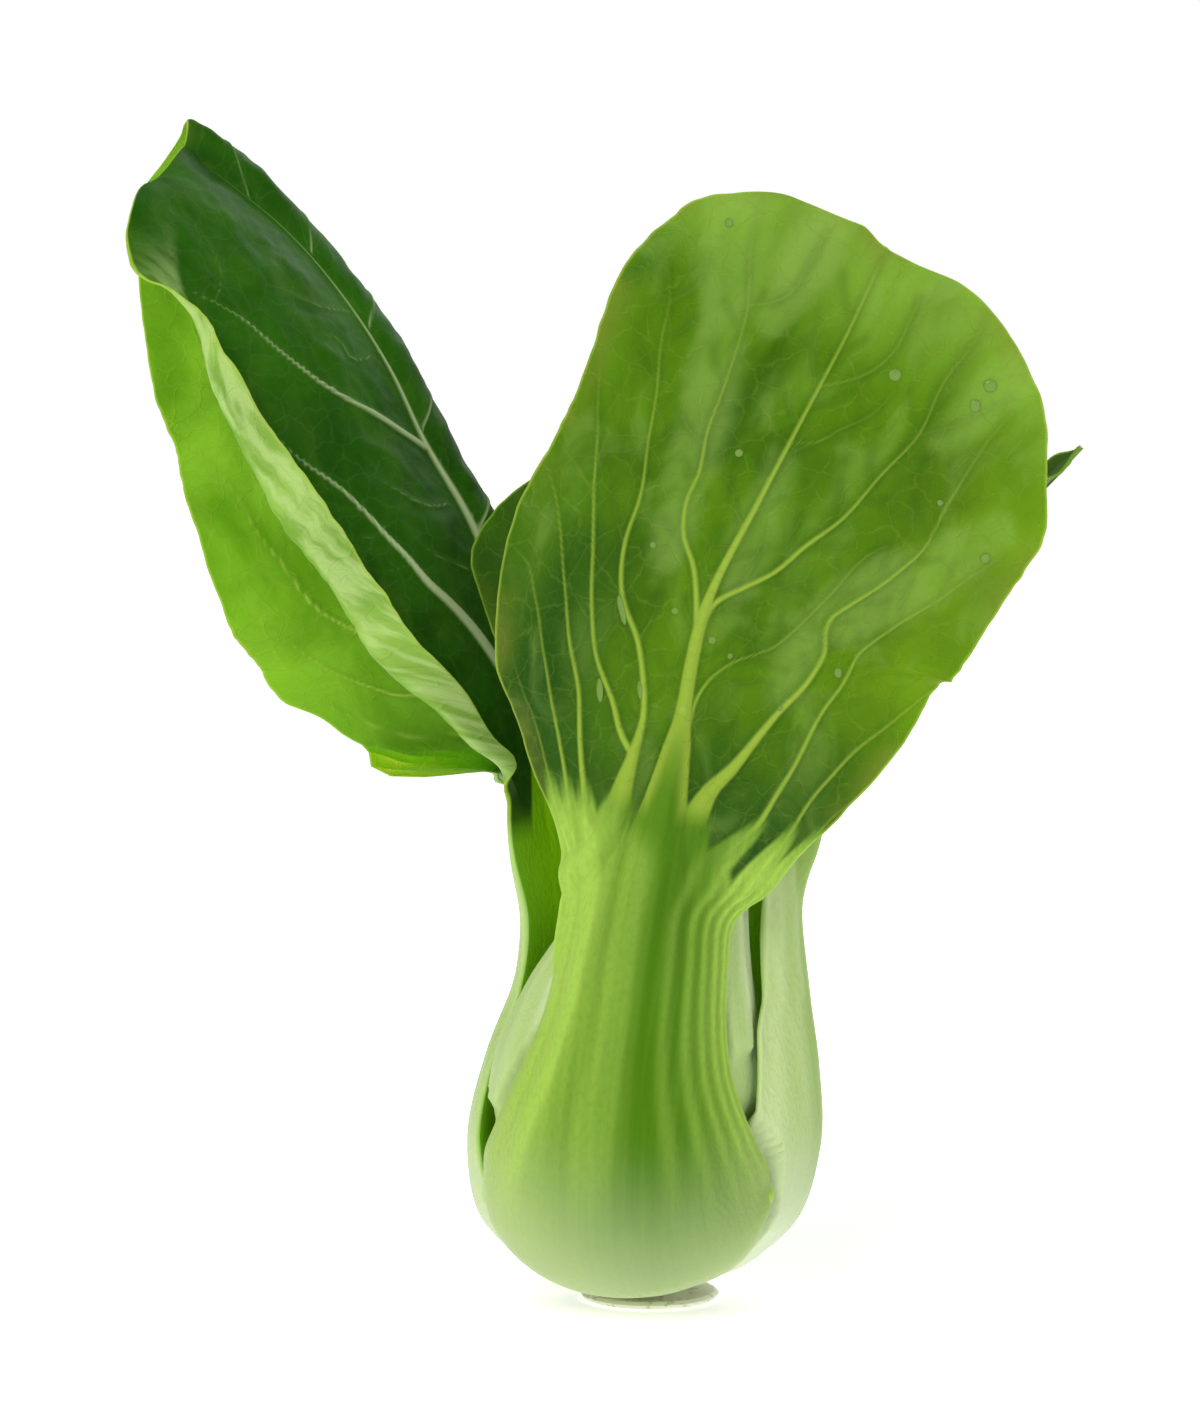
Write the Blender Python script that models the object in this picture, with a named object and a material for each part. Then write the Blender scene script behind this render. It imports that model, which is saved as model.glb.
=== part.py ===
"""A bok choy head standing on its cut stem base.

Ten leaves grow in a spiral from a short cut stem. Each leaf is one closed solid: a thick pale
stalk that hugs the head, and a thin blade that spreads from it. Named sizes are millimetres,
and the meshes are scaled to metres at the end. +Z is up, the cut face lies on z = 0, and the
widest leaf faces -Y.
"""

import math

import bpy
import numpy as np

MM = 0.001

# The cut stem, as (radius, height) of its turned profile. Leaf bases sit round its narrow core.
STEM_PROFILE = [(12.6, 0), (13.6, 0.4), (14, 1.1), (13.2, 1.7), (10.2, 1.8), (8, 2.4), (7.4, 5.8),
                (6.1, 7.8), (5.9, 12.2), (4.4, 13.8), (4.1, 16.2), (2.4, 17.4), (1.8, 18.6)]
STEM_TOP = 19.4
STEM_SIDES = 28

# Sheets and gaps
LAMINA = 0.75           # thickness of a blade between its veins
STALK_EDGE = 0.5        # what the flesh adds to the lamina at a stalk's edge
LEAF_GAP = 1.2          # clear space between nested stalks
VEIN_RISE = 0.9         # height of a side vein's ridge where it leaves the midrib
QUILT = 0.9             # how far the blade sinks between two side veins

# Stalk paths, as (distance from the head's axis, height) of the inner face at its middle
OUTER_STALK = [(9, 7.8), (17.5, 10.8), (25, 18.2), (28, 31), (27.2, 46), (25, 61), (23.6, 76)]
MIDDLE_STALK = [(6.8, 13.4), (12.5, 16.2), (18.5, 22), (22, 32), (21.2, 46), (18.6, 61), (16, 76)]
INNER_STALK = [(4.9, 17.4), (8.5, 19.8), (12.6, 24), (14.8, 32), (14.2, 44), (12.2, 57), (10, 70)]
HEART_STALK = [(3, 20.6), (5.2, 23), (7.2, 28), (8, 35), (7.6, 43), (6.6, 52), (5.4, 61)]

# The nesting table: the smallest radius taken so far, by azimuth and height
AZIMUTH_STEP = 3.0
HEIGHT_STEP = 2.5
ROOM_HEIGHT = 100.0
PRESS_FULL, PRESS_END = 80.0, 98.0

# The grid of rows and columns that each leaf is meshed on
LEAST_CLIMB = 0.12      # how far up the midrib a row's start moves, at least, as its end follows the edge
STALK_ROWS = 12
STALK_CROWDING = 1.3    # rows stand closer towards the foot, where the stalk bends most
SMALL_COLUMNS = [0.0, 0.11, 0.32, 0.56, 0.80, 1.0]
LARGE_COLUMNS = [0.0, 0.09, 0.26, 0.45, 0.65, 0.84, 1.0]
ROLLED_COLUMNS = [0.0, 0.09, 0.26, 0.45, 0.65, 0.82, 0.92, 1.0]
ROLL_START = 0.65       # the share of a half's width at which its rolled edge begins

# The two big leaves are given as seen from the front: their edges by (x, z), and their midribs with
# a depth, all on an upright sheet through SIGHT_AIM that faces the eye
SIGHT_AIM = np.array([-10.0, 0.0, 118.5])
SIGHT_TILT = math.radians(3.5)
SIGHT_AHEAD = np.array([0.0, math.cos(SIGHT_TILT), -math.sin(SIGHT_TILT)])
SIGHT_UP = np.array([0.0, math.sin(SIGHT_TILT), math.cos(SIGHT_TILT)])
SIGHT_DISTANCE = 789.0
EYE = SIGHT_AIM - SIGHT_DISTANCE * SIGHT_AHEAD

# Each leaf function below gives, in millimetres and degrees:
#   spine         the inner face along the midrib, from the foot to the tip
#   stalk_length  how far along it the stalk ends, and edge_from where the first seen edge point may lie
#   stalk_half    the stalk's half width by distance along, and rib_half the midrib's beyond it
#   left, right   the blade's edges as (along, out), or front_left and front_right as seen
#   flesh         how much thicker than the blade the stalk and midrib are
#   wrap          how closely the stalk's section follows a circle round the head
#   bend_left     a blade half's angle at the midrib, its turn and the width that it turns over
#   turn          how far the blade twists about its midrib, and fold_over where its bends set in
#   sweep         how steeply side veins rise, veins their number a half, and ruffle the wavy edge

STALK_GREEN = (0.42, 0.58, 0.20, 1.0)
STEM_CREAM = (0.72, 0.74, 0.52, 1.0)
OUTER_GREEN = (0.13, 0.28, 0.035, 1.0)
HEART_GREEN = (0.20, 0.38, 0.05, 1.0)


def stalk(azimuth, path):
    """A stalk path turned to its azimuth: 0 faces the front, 90 the right."""
    turn = math.radians(azimuth)
    return [(r * math.sin(turn), -r * math.cos(turn), z) for r, z in path]


def placed(points):
    """Points at (x, depth y, z) where x and z are as seen on the sight's sheet."""
    found = []
    for x, y, z in points:
        on_sheet = SIGHT_AIM + np.array([x - SIGHT_AIM[0], 0.0, 0.0]) + (z - SIGHT_AIM[2]) * SIGHT_UP
        found.append(tuple(EYE + (on_sheet - EYE) * (y - EYE[1]) / (on_sheet[1] - EYE[1])))
    return found


def seen(points):
    """Where points appear on the sight's sheet, as (x, z)."""
    away = points - EYE
    grow = SIGHT_DISTANCE / (away @ SIGHT_AHEAD)
    return np.stack([SIGHT_AIM[0] + away[..., 0] * grow, SIGHT_AIM[2] + (away @ SIGHT_UP) * grow], axis=-1)


def front_leaf():
    return dict(
        name="leaf_front", azimuth=-7, colour=OUTER_GREEN, columns=LARGE_COLUMNS, rows_a_vein=4,
        spine=stalk(-11, OUTER_STALK[:2]) + [(-6, -24.6, 18.2), (-6.4, -28, 31), (-5.4, -27.4, 46),
              (-3.4, -25.2, 61), (-1.4, -24.2, 76)] + placed([(1.6, -24.6, 92), (5.6, -27, 112),
              (11.4, -31, 140), (22, -36, 161), (31, -39.5, 178), (40, -41.5, 195), (47.4, -42, 211)]),
        stalk_length=92, wrap=0.78,
        stalk_half=[(0, 9), (5, 15.5), (10, 21.5), (16, 27), (22, 30), (30, 31), (40, 27.5),
                    (50, 22.5), (62, 18.6), (74, 17.2), (84, 17.2)],
        front_left=[(-18.2, 94), (-24.6, 108), (-29, 122), (-31, 138), (-27.4, 158), (-20, 171),
                    (-14.6, 183), (-9.4, 198), (-2, 211), (8, 219.5), (19, 221.5), (31, 220),
                    (41, 215), (47.4, 211)],
        front_right=[(24, 83), (30.6, 90.4), (40, 100.5), (51, 112.6), (62, 128), (72, 141),
                     (78.6, 156), (79.6, 168), (77.6, 182), (72, 194), (62, 204), (54, 209),
                     (47.4, 211)],
        flesh=[(0, 4.2), (20, 6.4), (40, 7), (70, 6.4), (96, 4.6), (120, 2.6), (160, 1.3), (226, 0.3)],
        rib_half=[(84, 15), (104, 11), (124, 6), (150, 3.4), (190, 2.2), (226, 1.2)],
        bend_left=(5, 13, 48), bend_right=(3, 11, 58), turn=[(80, 0), (150, 4), (226, 6)],
        edge_from=78, sweep=1.15, veins=7, ruffle=(1.6, 5, 0.4))


def left_leaf():
    """The tall leaf, folded back along its midrib so that both halves hang left, the near edge rolled."""
    return dict(
        name="leaf_left", azimuth=-136, colour=OUTER_GREEN, columns=ROLLED_COLUMNS, rows_a_vein=4,
        spine=stalk(-136, [(9.4, 7.8), (18.4, 10.8), (26.8, 18.2), (30.6, 31), (29.4, 46), (25.4, 61)])
              + [(-17.2, 16.6, 76)] + placed([(-20, 16, 92), (-22.4, 16, 108), (-27.6, 16.6, 132),
              (-36, 18, 155.8), (-45.6, 20, 172.6), (-52, 21, 186.2), (-60, 22.4, 199),
              (-73.6, 24.6, 215), (-84, 26, 223.6), (-93.6, 27, 231)]),
        stalk_length=104, wrap=0.74,
        stalk_half=[(0, 8.5), (5, 14), (10, 19.5), (21, 27), (34, 29), (50, 22.5), (70, 14.6), (98, 12)],
        front_left=[(-31, 101.8), (-46, 105), (-64, 113), (-75, 122.6), (-82, 133), (-90, 151.6),
                    (-93, 164.6), (-100, 191), (-101, 206), (-100, 218), (-97.6, 227), (-93.6, 231)],
        front_right=[(-28.6, 104), (-33, 110.6), (-42, 122), (-50, 132.4), (-58, 143), (-65, 152.6),
                     (-74, 166.6), (-85, 186.2), (-93, 200), (-102, 206.6), (-104.4, 215), (-103, 220.6),
                     (-98, 226.6), (-93.6, 231)],
        flesh=[(0, 4.2), (20, 6), (40, 6.4), (70, 5.6), (100, 4.2), (130, 2.6), (180, 1.4), (262, 0.3)],
        rib_half=[(92, 13), (112, 8), (135, 4.6), (170, 3), (215, 2), (262, 1.2)],
        bend_left=(60, -152, 18), bend_right=(-8, -34, 40), turn=[(86, 0), (116, 22), (262, 26)],
        fold_over=(-20, 14), edge_from=112, sweep=0.95, veins=7, ruffle=(1.2, 6, 1.1), roll=(5.5, 150))


def right_leaf():
    """Stands at the right, behind the front leaf, with only its stalk and its tip in sight."""
    return dict(
        name="leaf_right", azimuth=98, colour=OUTER_GREEN, rows_a_vein=4,
        spine=stalk(97, OUTER_STALK[:6]) + [(23.4, 1.4, 76), (25.4, 2, 92), (35, 4, 110),
              (49.5, 7, 130), (64, 9.5, 147), (76, 11, 160.5), (87, 12, 171.5)],
        stalk_length=88, wrap=1,
        stalk_half=[(0, 8.5), (5, 14), (10, 19), (21, 25), (34, 25), (48, 20.5), (66, 15.5), (84, 12.5)],
        left=[(98, 15), (112, 22), (130, 26), (150, 26), (168, 20), (182, 11)],
        right=[(96, 14), (110, 24), (130, 31), (150, 32), (170, 25), (184, 13)],
        flesh=[(0, 4.2), (20, 6), (40, 6.4), (70, 5.6), (92, 4.4), (115, 2.5), (150, 1.3), (192, 0.3)],
        rib_half=[(80, 12.5), (100, 8.5), (118, 5), (145, 3), (192, 1.2)],
        bend_left=(12, 30, 40), bend_right=(0, 10, 44), turn=[(80, 0), (192, 0)],
        sweep=1, veins=6, ruffle=(1.2, 4, 2))


def front_left_leaf():
    """Its pale stalk shows left of the front stalk, and its blade between the two big leaves."""
    return dict(
        name="leaf_front_left", azimuth=-74, colour=HEART_GREEN,
        spine=stalk(-76, [(6.8, 13.4), (13.5, 16.4), (21, 22), (26, 32), (25, 46), (19.6, 61)])
        + [(-11.4, -4.8, 76), (-10.4, -7.2, 92), (-13.2, -9, 110),
              (-18, -10.4, 130), (-21.4, -11.4, 148), (-22.6, -12.4, 165)],
        stalk_length=84, wrap=0.95,
        stalk_half=[(0, 5.5), (8, 14), (18, 21.5), (30, 23.5), (44, 19.5), (58, 12.5), (72, 8),
                    (88, 7.4)],
        left=[(98, 9.5), (110, 13), (126, 16.5), (142, 17), (156, 12.5)],
        right=[(98, 9.5), (110, 12.5), (126, 15), (142, 15.5), (156, 12)],
        flesh=[(0, 3.4), (20, 5.4), (40, 5.6), (66, 4.4), (88, 2.8), (120, 1.3), (160, 0.3)],
        rib_half=[(74, 9), (92, 5.6), (112, 3.2), (160, 1)],
        bend_left=(6, 16, 22), bend_right=(6, 14, 22), turn=[(66, 0), (100, 54), (160, 60)],
        sweep=0.9, veins=5, ruffle=(0.8, 4, 0.2))


def back_leaf():
    return dict(
        name="leaf_back", azimuth=172, colour=OUTER_GREEN, rows_a_vein=4,
        spine=stalk(172, MIDDLE_STALK[:1]) + stalk(172, [(14.5, 14.4), (21.5, 20.5), (25.6, 32),
                                                         (25.4, 46),
              (25, 61), (26.4, 76)]) + [(4.8, 30, 92), (6.4, 36, 110), (9.6, 46, 132),
              (13.4, 56, 154), (16.6, 65, 174), (18.4, 71, 187)],
        stalk_length=90, wrap=1,
        stalk_half=[(0, 5.5), (8, 15), (20, 24), (34, 25), (48, 20), (66, 14), (84, 11.5)],
        left=[(98, 13), (112, 21), (130, 31), (150, 37), (170, 34), (188, 21)],
        right=[(98, 13), (112, 20), (130, 28), (150, 33), (170, 31), (188, 19)],
        flesh=[(0, 3.4), (20, 5.6), (40, 6), (66, 5.2), (92, 4), (118, 2.3), (150, 1.3), (200, 0.3)],
        rib_half=[(82, 13), (102, 8.6), (122, 4.8), (150, 2.8), (200, 1.2)],
        bend_left=(4, 20, 40), bend_right=(4, 18, 40), turn=[(80, 0), (200, 0)],
        sweep=1.05, veins=6, ruffle=(1.6, 5, 2.6))


def front_right_leaf():
    """Its stalk shows as a narrow strip between the front stalk and the right one."""
    return dict(
        name="leaf_front_right", azimuth=24, colour=HEART_GREEN,
        spine=stalk(28, MIDDLE_STALK[:5]) + [(9.8, -16, 61), (10.6, -13.2, 76), (12.8, -11.2, 92),
              (17, -10.2, 110), (22.6, -10, 130), (27, -10.6, 148)],
        stalk_length=80, wrap=0.95,
        stalk_half=[(0, 5), (8, 12), (18, 18), (30, 19.5), (44, 17.5), (60, 13.5), (74, 10.5)],
        left=[(88, 10), (100, 13), (114, 15), (128, 13.5), (138, 9)],
        right=[(88, 11), (100, 15), (114, 17), (128, 15), (138, 9)],
        flesh=[(0, 3.2), (20, 5), (40, 5.2), (62, 4.2), (84, 2.6), (112, 1.2), (146, 0.3)],
        rib_half=[(72, 9), (88, 5.6), (106, 3.2), (146, 1)],
        bend_left=(8, 14, 20), bend_right=(8, 14, 20), turn=[(66, 0), (146, 0)],
        sweep=0.9, veins=5, ruffle=(0.8, 4, 0.9))


def heart_leaf(name, azimuth, path, top, lean, half, seed):
    """One of the small upright leaves in the middle, each set by its stalk, height, lean and width."""
    reach, foot = path[-1]
    rise = top - foot
    blade = [(reach + lean * share ** 1.7, foot + rise * share) for share in (0.22, 0.48, 0.74, 1)]
    spine = stalk(azimuth, path + blade)
    stalk_length = foot - path[0][1] + 6.0
    full = [(stalk_length + rise * share, half * width) for share, width in
            ((0.16, 0.62), (0.34, 0.90), (0.56, 1), (0.78, 0.82), (0.94, 0.45))]
    girth = path[3][0]
    return dict(
        name=name, azimuth=azimuth, colour=HEART_GREEN, spine=spine, stalk_length=stalk_length,
        wrap=0.95,
        stalk_half=[(0, 0.8 * path[0][0]), (8, 0.72 * girth), (18, 1.02 * girth),
                    (34, 0.82 * girth), (stalk_length - 6, 0.50 * girth)],
        left=full, right=full,
        flesh=[(0, 2.2), (20, 0.2 * girth + 1), (40, 0.16 * girth + 1), (stalk_length, 1.6),
               (stalk_length + 0.5 * rise, 0.9), (stalk_length + rise, 0.3)],
        rib_half=[(stalk_length - 8, 0.46 * girth), (stalk_length + 10, 0.26 * girth),
                  (stalk_length + rise, 0.8)],
        bend_left=(10, 22, half), bend_right=(10, 22, half), turn=[(0, 0), (200, 0)],
        sweep=0.8, veins=4, ruffle=(0.5, 3, seed))


def leaf_specs():
    """Outermost first, in the order that the spiral adds them, each about 137 degrees on from the last."""
    return [
        front_leaf(), left_leaf(), right_leaf(), front_left_leaf(), back_leaf(), front_right_leaf(),
        heart_leaf("leaf_inner_left", -116, INNER_STALK, 122, 0.5, 12, 0.3),
        heart_leaf("leaf_inner_right", 110, INNER_STALK, 112, 5, 12, 1.4),
        heart_leaf("leaf_heart_front", -26, HEART_STALK, 92, 1.5, 9, 2.1),
        heart_leaf("leaf_heart_back", 164, HEART_STALK, 84, 3, 8, 0.8),
    ]


def smooth_curve(points, count):
    """Evenly spaced points along a smooth curve through the given ones, and the curve's length."""
    points = np.array(points, float)
    span = np.linalg.norm(np.diff(points, axis=0), axis=1)
    knots = np.concatenate([[0.0], np.cumsum(span)])
    slope = np.diff(points, axis=0) / span[:, None]
    tangent = np.empty_like(points)
    near, far = span[:-1, None], span[1:, None]
    tangent[1:-1] = (slope[:-1] * far + slope[1:] * near) / (near + far)
    tangent[0] = 1.5 * slope[0] - 0.5 * tangent[1]
    tangent[-1] = 1.5 * slope[-1] - 0.5 * tangent[-2]
    at = np.linspace(0.0, knots[-1], 8 * count)
    part = np.clip(np.searchsorted(knots, at, side="right") - 1, 0, len(span) - 1)
    step = span[part][:, None]
    x = (at[:, None] - knots[part][:, None]) / step
    dense = ((2 * x**3 - 3 * x**2 + 1) * points[part] + (x**3 - 2 * x**2 + x) * step * tangent[part]
             + (3 * x**2 - 2 * x**3) * points[part + 1] + (x**3 - x**2) * step * tangent[part + 1])
    travel = np.concatenate([[0.0], np.cumsum(np.linalg.norm(np.diff(dense, axis=0), axis=1))])
    even = np.linspace(0.0, travel[-1], count)
    return np.stack([np.interp(even, travel, axis) for axis in dense.T], axis=1), travel[-1]


def profile(table, at):
    """A smooth value read from (position, value) pairs, level beyond both ends."""
    position, value = np.array(table, float).T
    span = np.diff(position)
    slope = np.diff(value) / span
    tangent = np.zeros_like(value)
    rising = slope[:-1] * slope[1:] > 0
    total = np.where(rising, slope[:-1] + slope[1:], 1)
    tangent[1:-1] = np.where(rising, 2 * slope[:-1] * slope[1:] / total, 0)
    at = np.clip(at, position[0], position[-1])
    part = np.clip(np.searchsorted(position, at, side="right") - 1, 0, len(span) - 1)
    step = span[part]
    x = (at - position[part]) / step
    return ((2 * x**3 - 3 * x**2 + 1) * value[part] + (x**3 - 2 * x**2 + x) * step * tangent[part]
            + (3 * x**2 - 2 * x**3) * value[part + 1] + (x**3 - x**2) * step * tangent[part + 1])


def ease(low, high, at):
    x = np.clip((at - low) / (high - low), 0.0, 1.0)
    return x * x * (3 - 2 * x)


def unit(vectors):
    return vectors / np.linalg.norm(vectors, axis=-1, keepdims=True)


class Room:
    """The smallest radius taken so far, by azimuth and height. Each new leaf is pressed inside it."""

    def __init__(self):
        self.shape = (int(360 / AZIMUTH_STEP), int(ROOM_HEIGHT / HEIGHT_STEP))
        self.taken = np.full(self.shape, 60.0)

    def cells(self, points):
        azimuth = np.degrees(np.arctan2(points[..., 0], -points[..., 1])) % 360 / AZIMUTH_STEP
        height = np.clip(points[..., 2] / HEIGHT_STEP - 0.5, 0, self.shape[1] - 1.001)
        return azimuth, height, np.hypot(points[..., 0], points[..., 1])

    def smoothed(self):
        """The table eroded and then averaged over its neighbours, so that it never exceeds what is free."""
        low = self.taken
        for step in (-3, -2, -1, 1, 2, 3):
            low = np.minimum(low, np.roll(self.taken, step, axis=0))
        edge = np.pad(low, ((0, 0), (1, 1)), mode="edge")
        low = np.minimum(low, np.minimum(edge[:, :-2], edge[:, 2:]))
        soft = sum(np.roll(low, step, axis=0) for step in (-2, -1, 0, 1, 2)) / 5
        edge = np.pad(soft, ((0, 0), (1, 1)), mode="edge")
        return (edge[:, :-2] + soft + edge[:, 2:]) / 3

    def free(self, table, points):
        azimuth, height, _ = self.cells(points)
        a, h = np.floor(azimuth).astype(int) % self.shape[0], np.floor(height).astype(int)
        b = (a + 1) % self.shape[0]
        x, y = azimuth - np.floor(azimuth), height - h
        return ((table[a, h] * (1 - x) + table[b, h] * x) * (1 - y)
                + (table[a, h + 1] * (1 - x) + table[b, h + 1] * x) * y)

    def take(self, points):
        """Records the inner face of a placed leaf, and the space under its foot."""
        points = points[points[..., 2] < ROOM_HEIGHT]
        azimuth, height, radius = self.cells(points)
        leaf = np.full(self.shape, 60.0)
        for shift in (0.0, 1.0):
            a = np.floor(azimuth + shift).astype(int) % self.shape[0]
            for lift in (0.0, 1.0):
                h = np.clip(np.floor(height + lift).astype(int), 0, self.shape[1] - 1)
                np.minimum.at(leaf, (a, h), radius)
        for h in range(self.shape[1] - 2, -1, -1):
            under = (leaf[:, h] > 59) & (leaf[:, h + 1] < 59) & (h * HEIGHT_STEP < 30)
            leaf[under, h] = leaf[under, h + 1]
        self.taken = np.minimum(self.taken, leaf)


class Leaf:
    """A leaf's flat pattern, its folded place in the head and its thickness, from one spec."""

    def __init__(self, spec, room):
        self.spec = spec
        self.room, self.table = room, room.smoothed()
        self.spine, self.length = smooth_curve(spec["spine"], 400)
        self.measure = np.linspace(0.0, self.length, 400)
        azimuth = math.radians(spec["azimuth"])
        across = np.array([math.cos(azimuth), math.sin(azimuth), 0.0])
        self.ahead = unit(np.gradient(self.spine, axis=0))
        flat = unit(across - (self.ahead @ across)[:, None] * self.ahead)
        inward = np.cross(self.ahead, flat)
        turn = np.radians(profile(spec["turn"], self.measure))[:, None]
        self.across = flat * np.cos(turn) + inward * np.sin(turn)
        self.inward = np.cross(self.ahead, self.across)
        radius = np.hypot(self.spine[:, 0], self.spine[:, 1])
        facing = -(self.inward[:, :2] * self.spine[:, :2]).sum(axis=1) / radius
        self.wrap = spec["wrap"] * np.clip(facing, 0.0, 1.0) / radius
        self.sides = {-1: self.outline(-1), 1: self.outline(1)}
        self.spread_rows()

    def unrolled(self, edge, side):
        """Turns an edge as seen from the front, in (x, z), into (along, out) on the leaf's flat pattern."""
        along, out = np.meshgrid(self.measure[::2], np.arange(6.0, 86.0, 0.5), indexing="ij")
        sheet = seen(self.surface(along, out, side * np.ones_like(out))[0])
        flat = []
        for point in edge:
            gap = np.linalg.norm(sheet - np.array(point), axis=-1)
            gap[along < self.spec["edge_from"]] += 50.0
            nearest = np.unravel_index(gap.argmin(), gap.shape)
            flat.append((along[nearest], out[nearest]))
        return flat

    def outline(self, side):
        """One half's edge as (along, out) samples, and where on the midrib each sample's row starts."""
        spec = self.spec
        name = "left" if side < 0 else "right"
        edge = list(spec["stalk_half"])
        edge += self.unrolled(spec["front_" + name][:-1], side) if "front_" + name in spec else spec[name]
        edge = [point for point in edge if point[0] < self.length or point[1] > 3.0] + [(self.length, 0.0)]
        samples, _ = smooth_curve(edge, 500)
        along, out = samples.T
        start = int(np.argmax(along > spec["stalk_length"]))
        step = np.diff(samples[start:], axis=0)
        climb = step[:, 0] - spec["sweep"] * step[:, 1]
        stride = np.maximum(climb, LEAST_CLIMB * np.hypot(step[:, 0], step[:, 1]))
        height = np.concatenate([[0.0], np.cumsum(stride)])
        foot = along.copy()
        foot[start:] = along[start] + height * (self.length - along[start]) / height[-1]
        foot[:start] = np.minimum(np.maximum.accumulate(along[:start]), foot[start])
        return along, np.maximum(out, 0.0), foot

    def spread_rows(self):
        """Shares the blade's rows between the midrib and both edges, so that none is crowded."""
        start = self.spec["stalk_length"]
        self.foot = np.linspace(start, self.length, 300)
        share = 0.4 * (self.foot - start) / (self.length - start)
        for along, out, foot in self.sides.values():
            travel = np.concatenate([[0.0], np.cumsum(np.hypot(np.diff(along), np.diff(out)))])
            reached = np.interp(self.foot, foot, travel)
            share = share + 0.3 * (reached - reached[0]) / (reached[-1] - reached[0])
        self.share = share

    def along_spine(self, values, at):
        return np.stack([np.interp(at, self.measure, axis) for axis in values.T], axis=-1)

    def surface(self, along, out, sign, crease=None):
        """The inner face and its normal at flat positions, folded at the midrib and rolled past a crease."""
        spec = self.spec
        blade = ease(*(spec["stalk_length"] + at for at in spec.get("fold_over", (-16.0, 26.0))), along)
        start, curl, reach = (np.where(sign < 0, left, right)
                              for left, right in zip(spec["bend_left"], spec["bend_right"]))
        start = blade * np.radians(start)
        curl = (1 - blade) * np.interp(along, self.measure, self.wrap) + blade * np.radians(curl) / reach
        curl = np.where(np.abs(curl) < 1e-5, 1e-5, curl)
        flat = out if crease is None else np.minimum(out, crease)
        arc = np.minimum(flat, reach + (1 - blade) * 200.0)
        angle = start + curl * arc
        sideways = (np.sin(angle) - np.sin(start)) / curl + (flat - arc) * np.cos(angle)
        lift = (np.cos(start) - np.cos(angle)) / curl + (flat - arc) * np.sin(angle)
        if crease is not None:
            width, turn = spec["roll"]
            tight = math.radians(turn) / width
            rolled = angle + tight * (out - flat)
            sideways = sideways + (np.sin(rolled) - np.sin(angle)) / tight
            lift = lift + (np.cos(angle) - np.cos(rolled)) / tight
            angle = rolled
        across, inward = self.along_spine(self.across, along), self.along_spine(self.inward, along)
        normal = inward * np.cos(angle)[..., None] - across * (sign * np.sin(angle))[..., None]
        points = (self.along_spine(self.spine, along) + across * (sign * sideways)[..., None]
                  + inward * lift[..., None])
        return points, normal

    def thickness(self, along, out, phase, share):
        """Blade, midrib or stalk flesh, and side veins, all raised on the outer face."""
        spec = self.spec
        blade = ease(spec["stalk_length"] - 12.0, spec["stalk_length"] + 12.0, along)
        stalk_end = spec["stalk_half"][-1][0]
        half = profile(spec["stalk_half"] + [rib for rib in spec["rib_half"] if rib[0] > stalk_end], along)
        rise = profile(spec["flesh"], along)
        fullness = 0.5 + 0.65 * ease(12.0, 44.0, along)
        flesh = rise * np.clip(1 - (out / np.maximum(half, 0.8)) ** 2, 0.0, 1.0) ** fullness
        vein = np.exp(-((phase - np.round(phase)) / 0.22) ** 2) * VEIN_RISE * (1 - share) ** 0.8
        return LAMINA + STALK_EDGE * (1 - blade) + flesh + blade * vein * ease(0.03, 0.2, share)

    def faces(self, feet, columns):
        """Inner and outer face points of the rows that start at these midrib places."""
        spec = self.spec
        feet, columns = np.asarray(feet, float)[:, None], np.asarray(columns, float)[None, :]
        share = np.abs(columns) * np.ones_like(feet)
        sign = np.where(columns < 0, -1.0, 1.0) * np.ones_like(feet)
        edge_along, edge_out = (
            np.where(sign < 0, np.interp(feet, self.sides[-1][2], self.sides[-1][k]),
                     np.interp(feet, self.sides[1][2], self.sides[1][k])) for k in (0, 1))
        along = feet + (edge_along - feet) * (1 - (1 - share) ** 1.5)
        out = edge_out * share
        crease = None
        if "roll" in spec:
            rolls = ease(spec["stalk_length"], spec["stalk_length"] + 12.0, along) * (sign > 0)
            rolls = rolls * (1 - ease(self.length - 40.0, self.length - 8.0, along))
            crease = edge_out - spec["roll"][0] * rolls
            past = (share - ROLL_START) / (1 - ROLL_START)
            rolled = np.where(past > 0, crease + (edge_out - crease) * past, crease * share / ROLL_START)
            out = rolled * rolls + out * (1 - rolls)
        points, normal = self.surface(along, out, sign, crease)

        blade = ease(spec["stalk_length"] - 4.0, spec["stalk_length"] + 24.0, along)
        row = np.interp(feet, self.foot, self.share)
        phase = row * spec["veins"] - np.where(sign < 0, 0.5, 1.0)
        height, waves, offset = spec["ruffle"]
        ruffle = height * share**2.6 * np.sin(2 * math.pi * waves * row + offset + 1.3 * sign)
        quilt = QUILT * 0.5 * (1 - np.cos(2 * math.pi * phase)) * 4 * share * (1 - share)
        points = points + normal * (blade * (ruffle + quilt))[..., None]
        thick = self.thickness(along, out, phase, share)
        outer = points - normal * thick[..., None]

        radius = np.hypot(outer[..., 0], outer[..., 1])
        limit = self.room.free(self.table, outer) - LEAF_GAP
        press = np.maximum(radius - limit, 0.0) * (1 - ease(PRESS_FULL, PRESS_END, outer[..., 2]))
        away = outer * np.array([1.0, 1.0, 0.0]) / np.maximum(radius, 1e-6)[..., None]
        move = away * press[..., None]
        return points - move, outer - move

    def blade_feet(self, shares):
        return np.interp(shares, self.share, self.foot)


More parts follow.
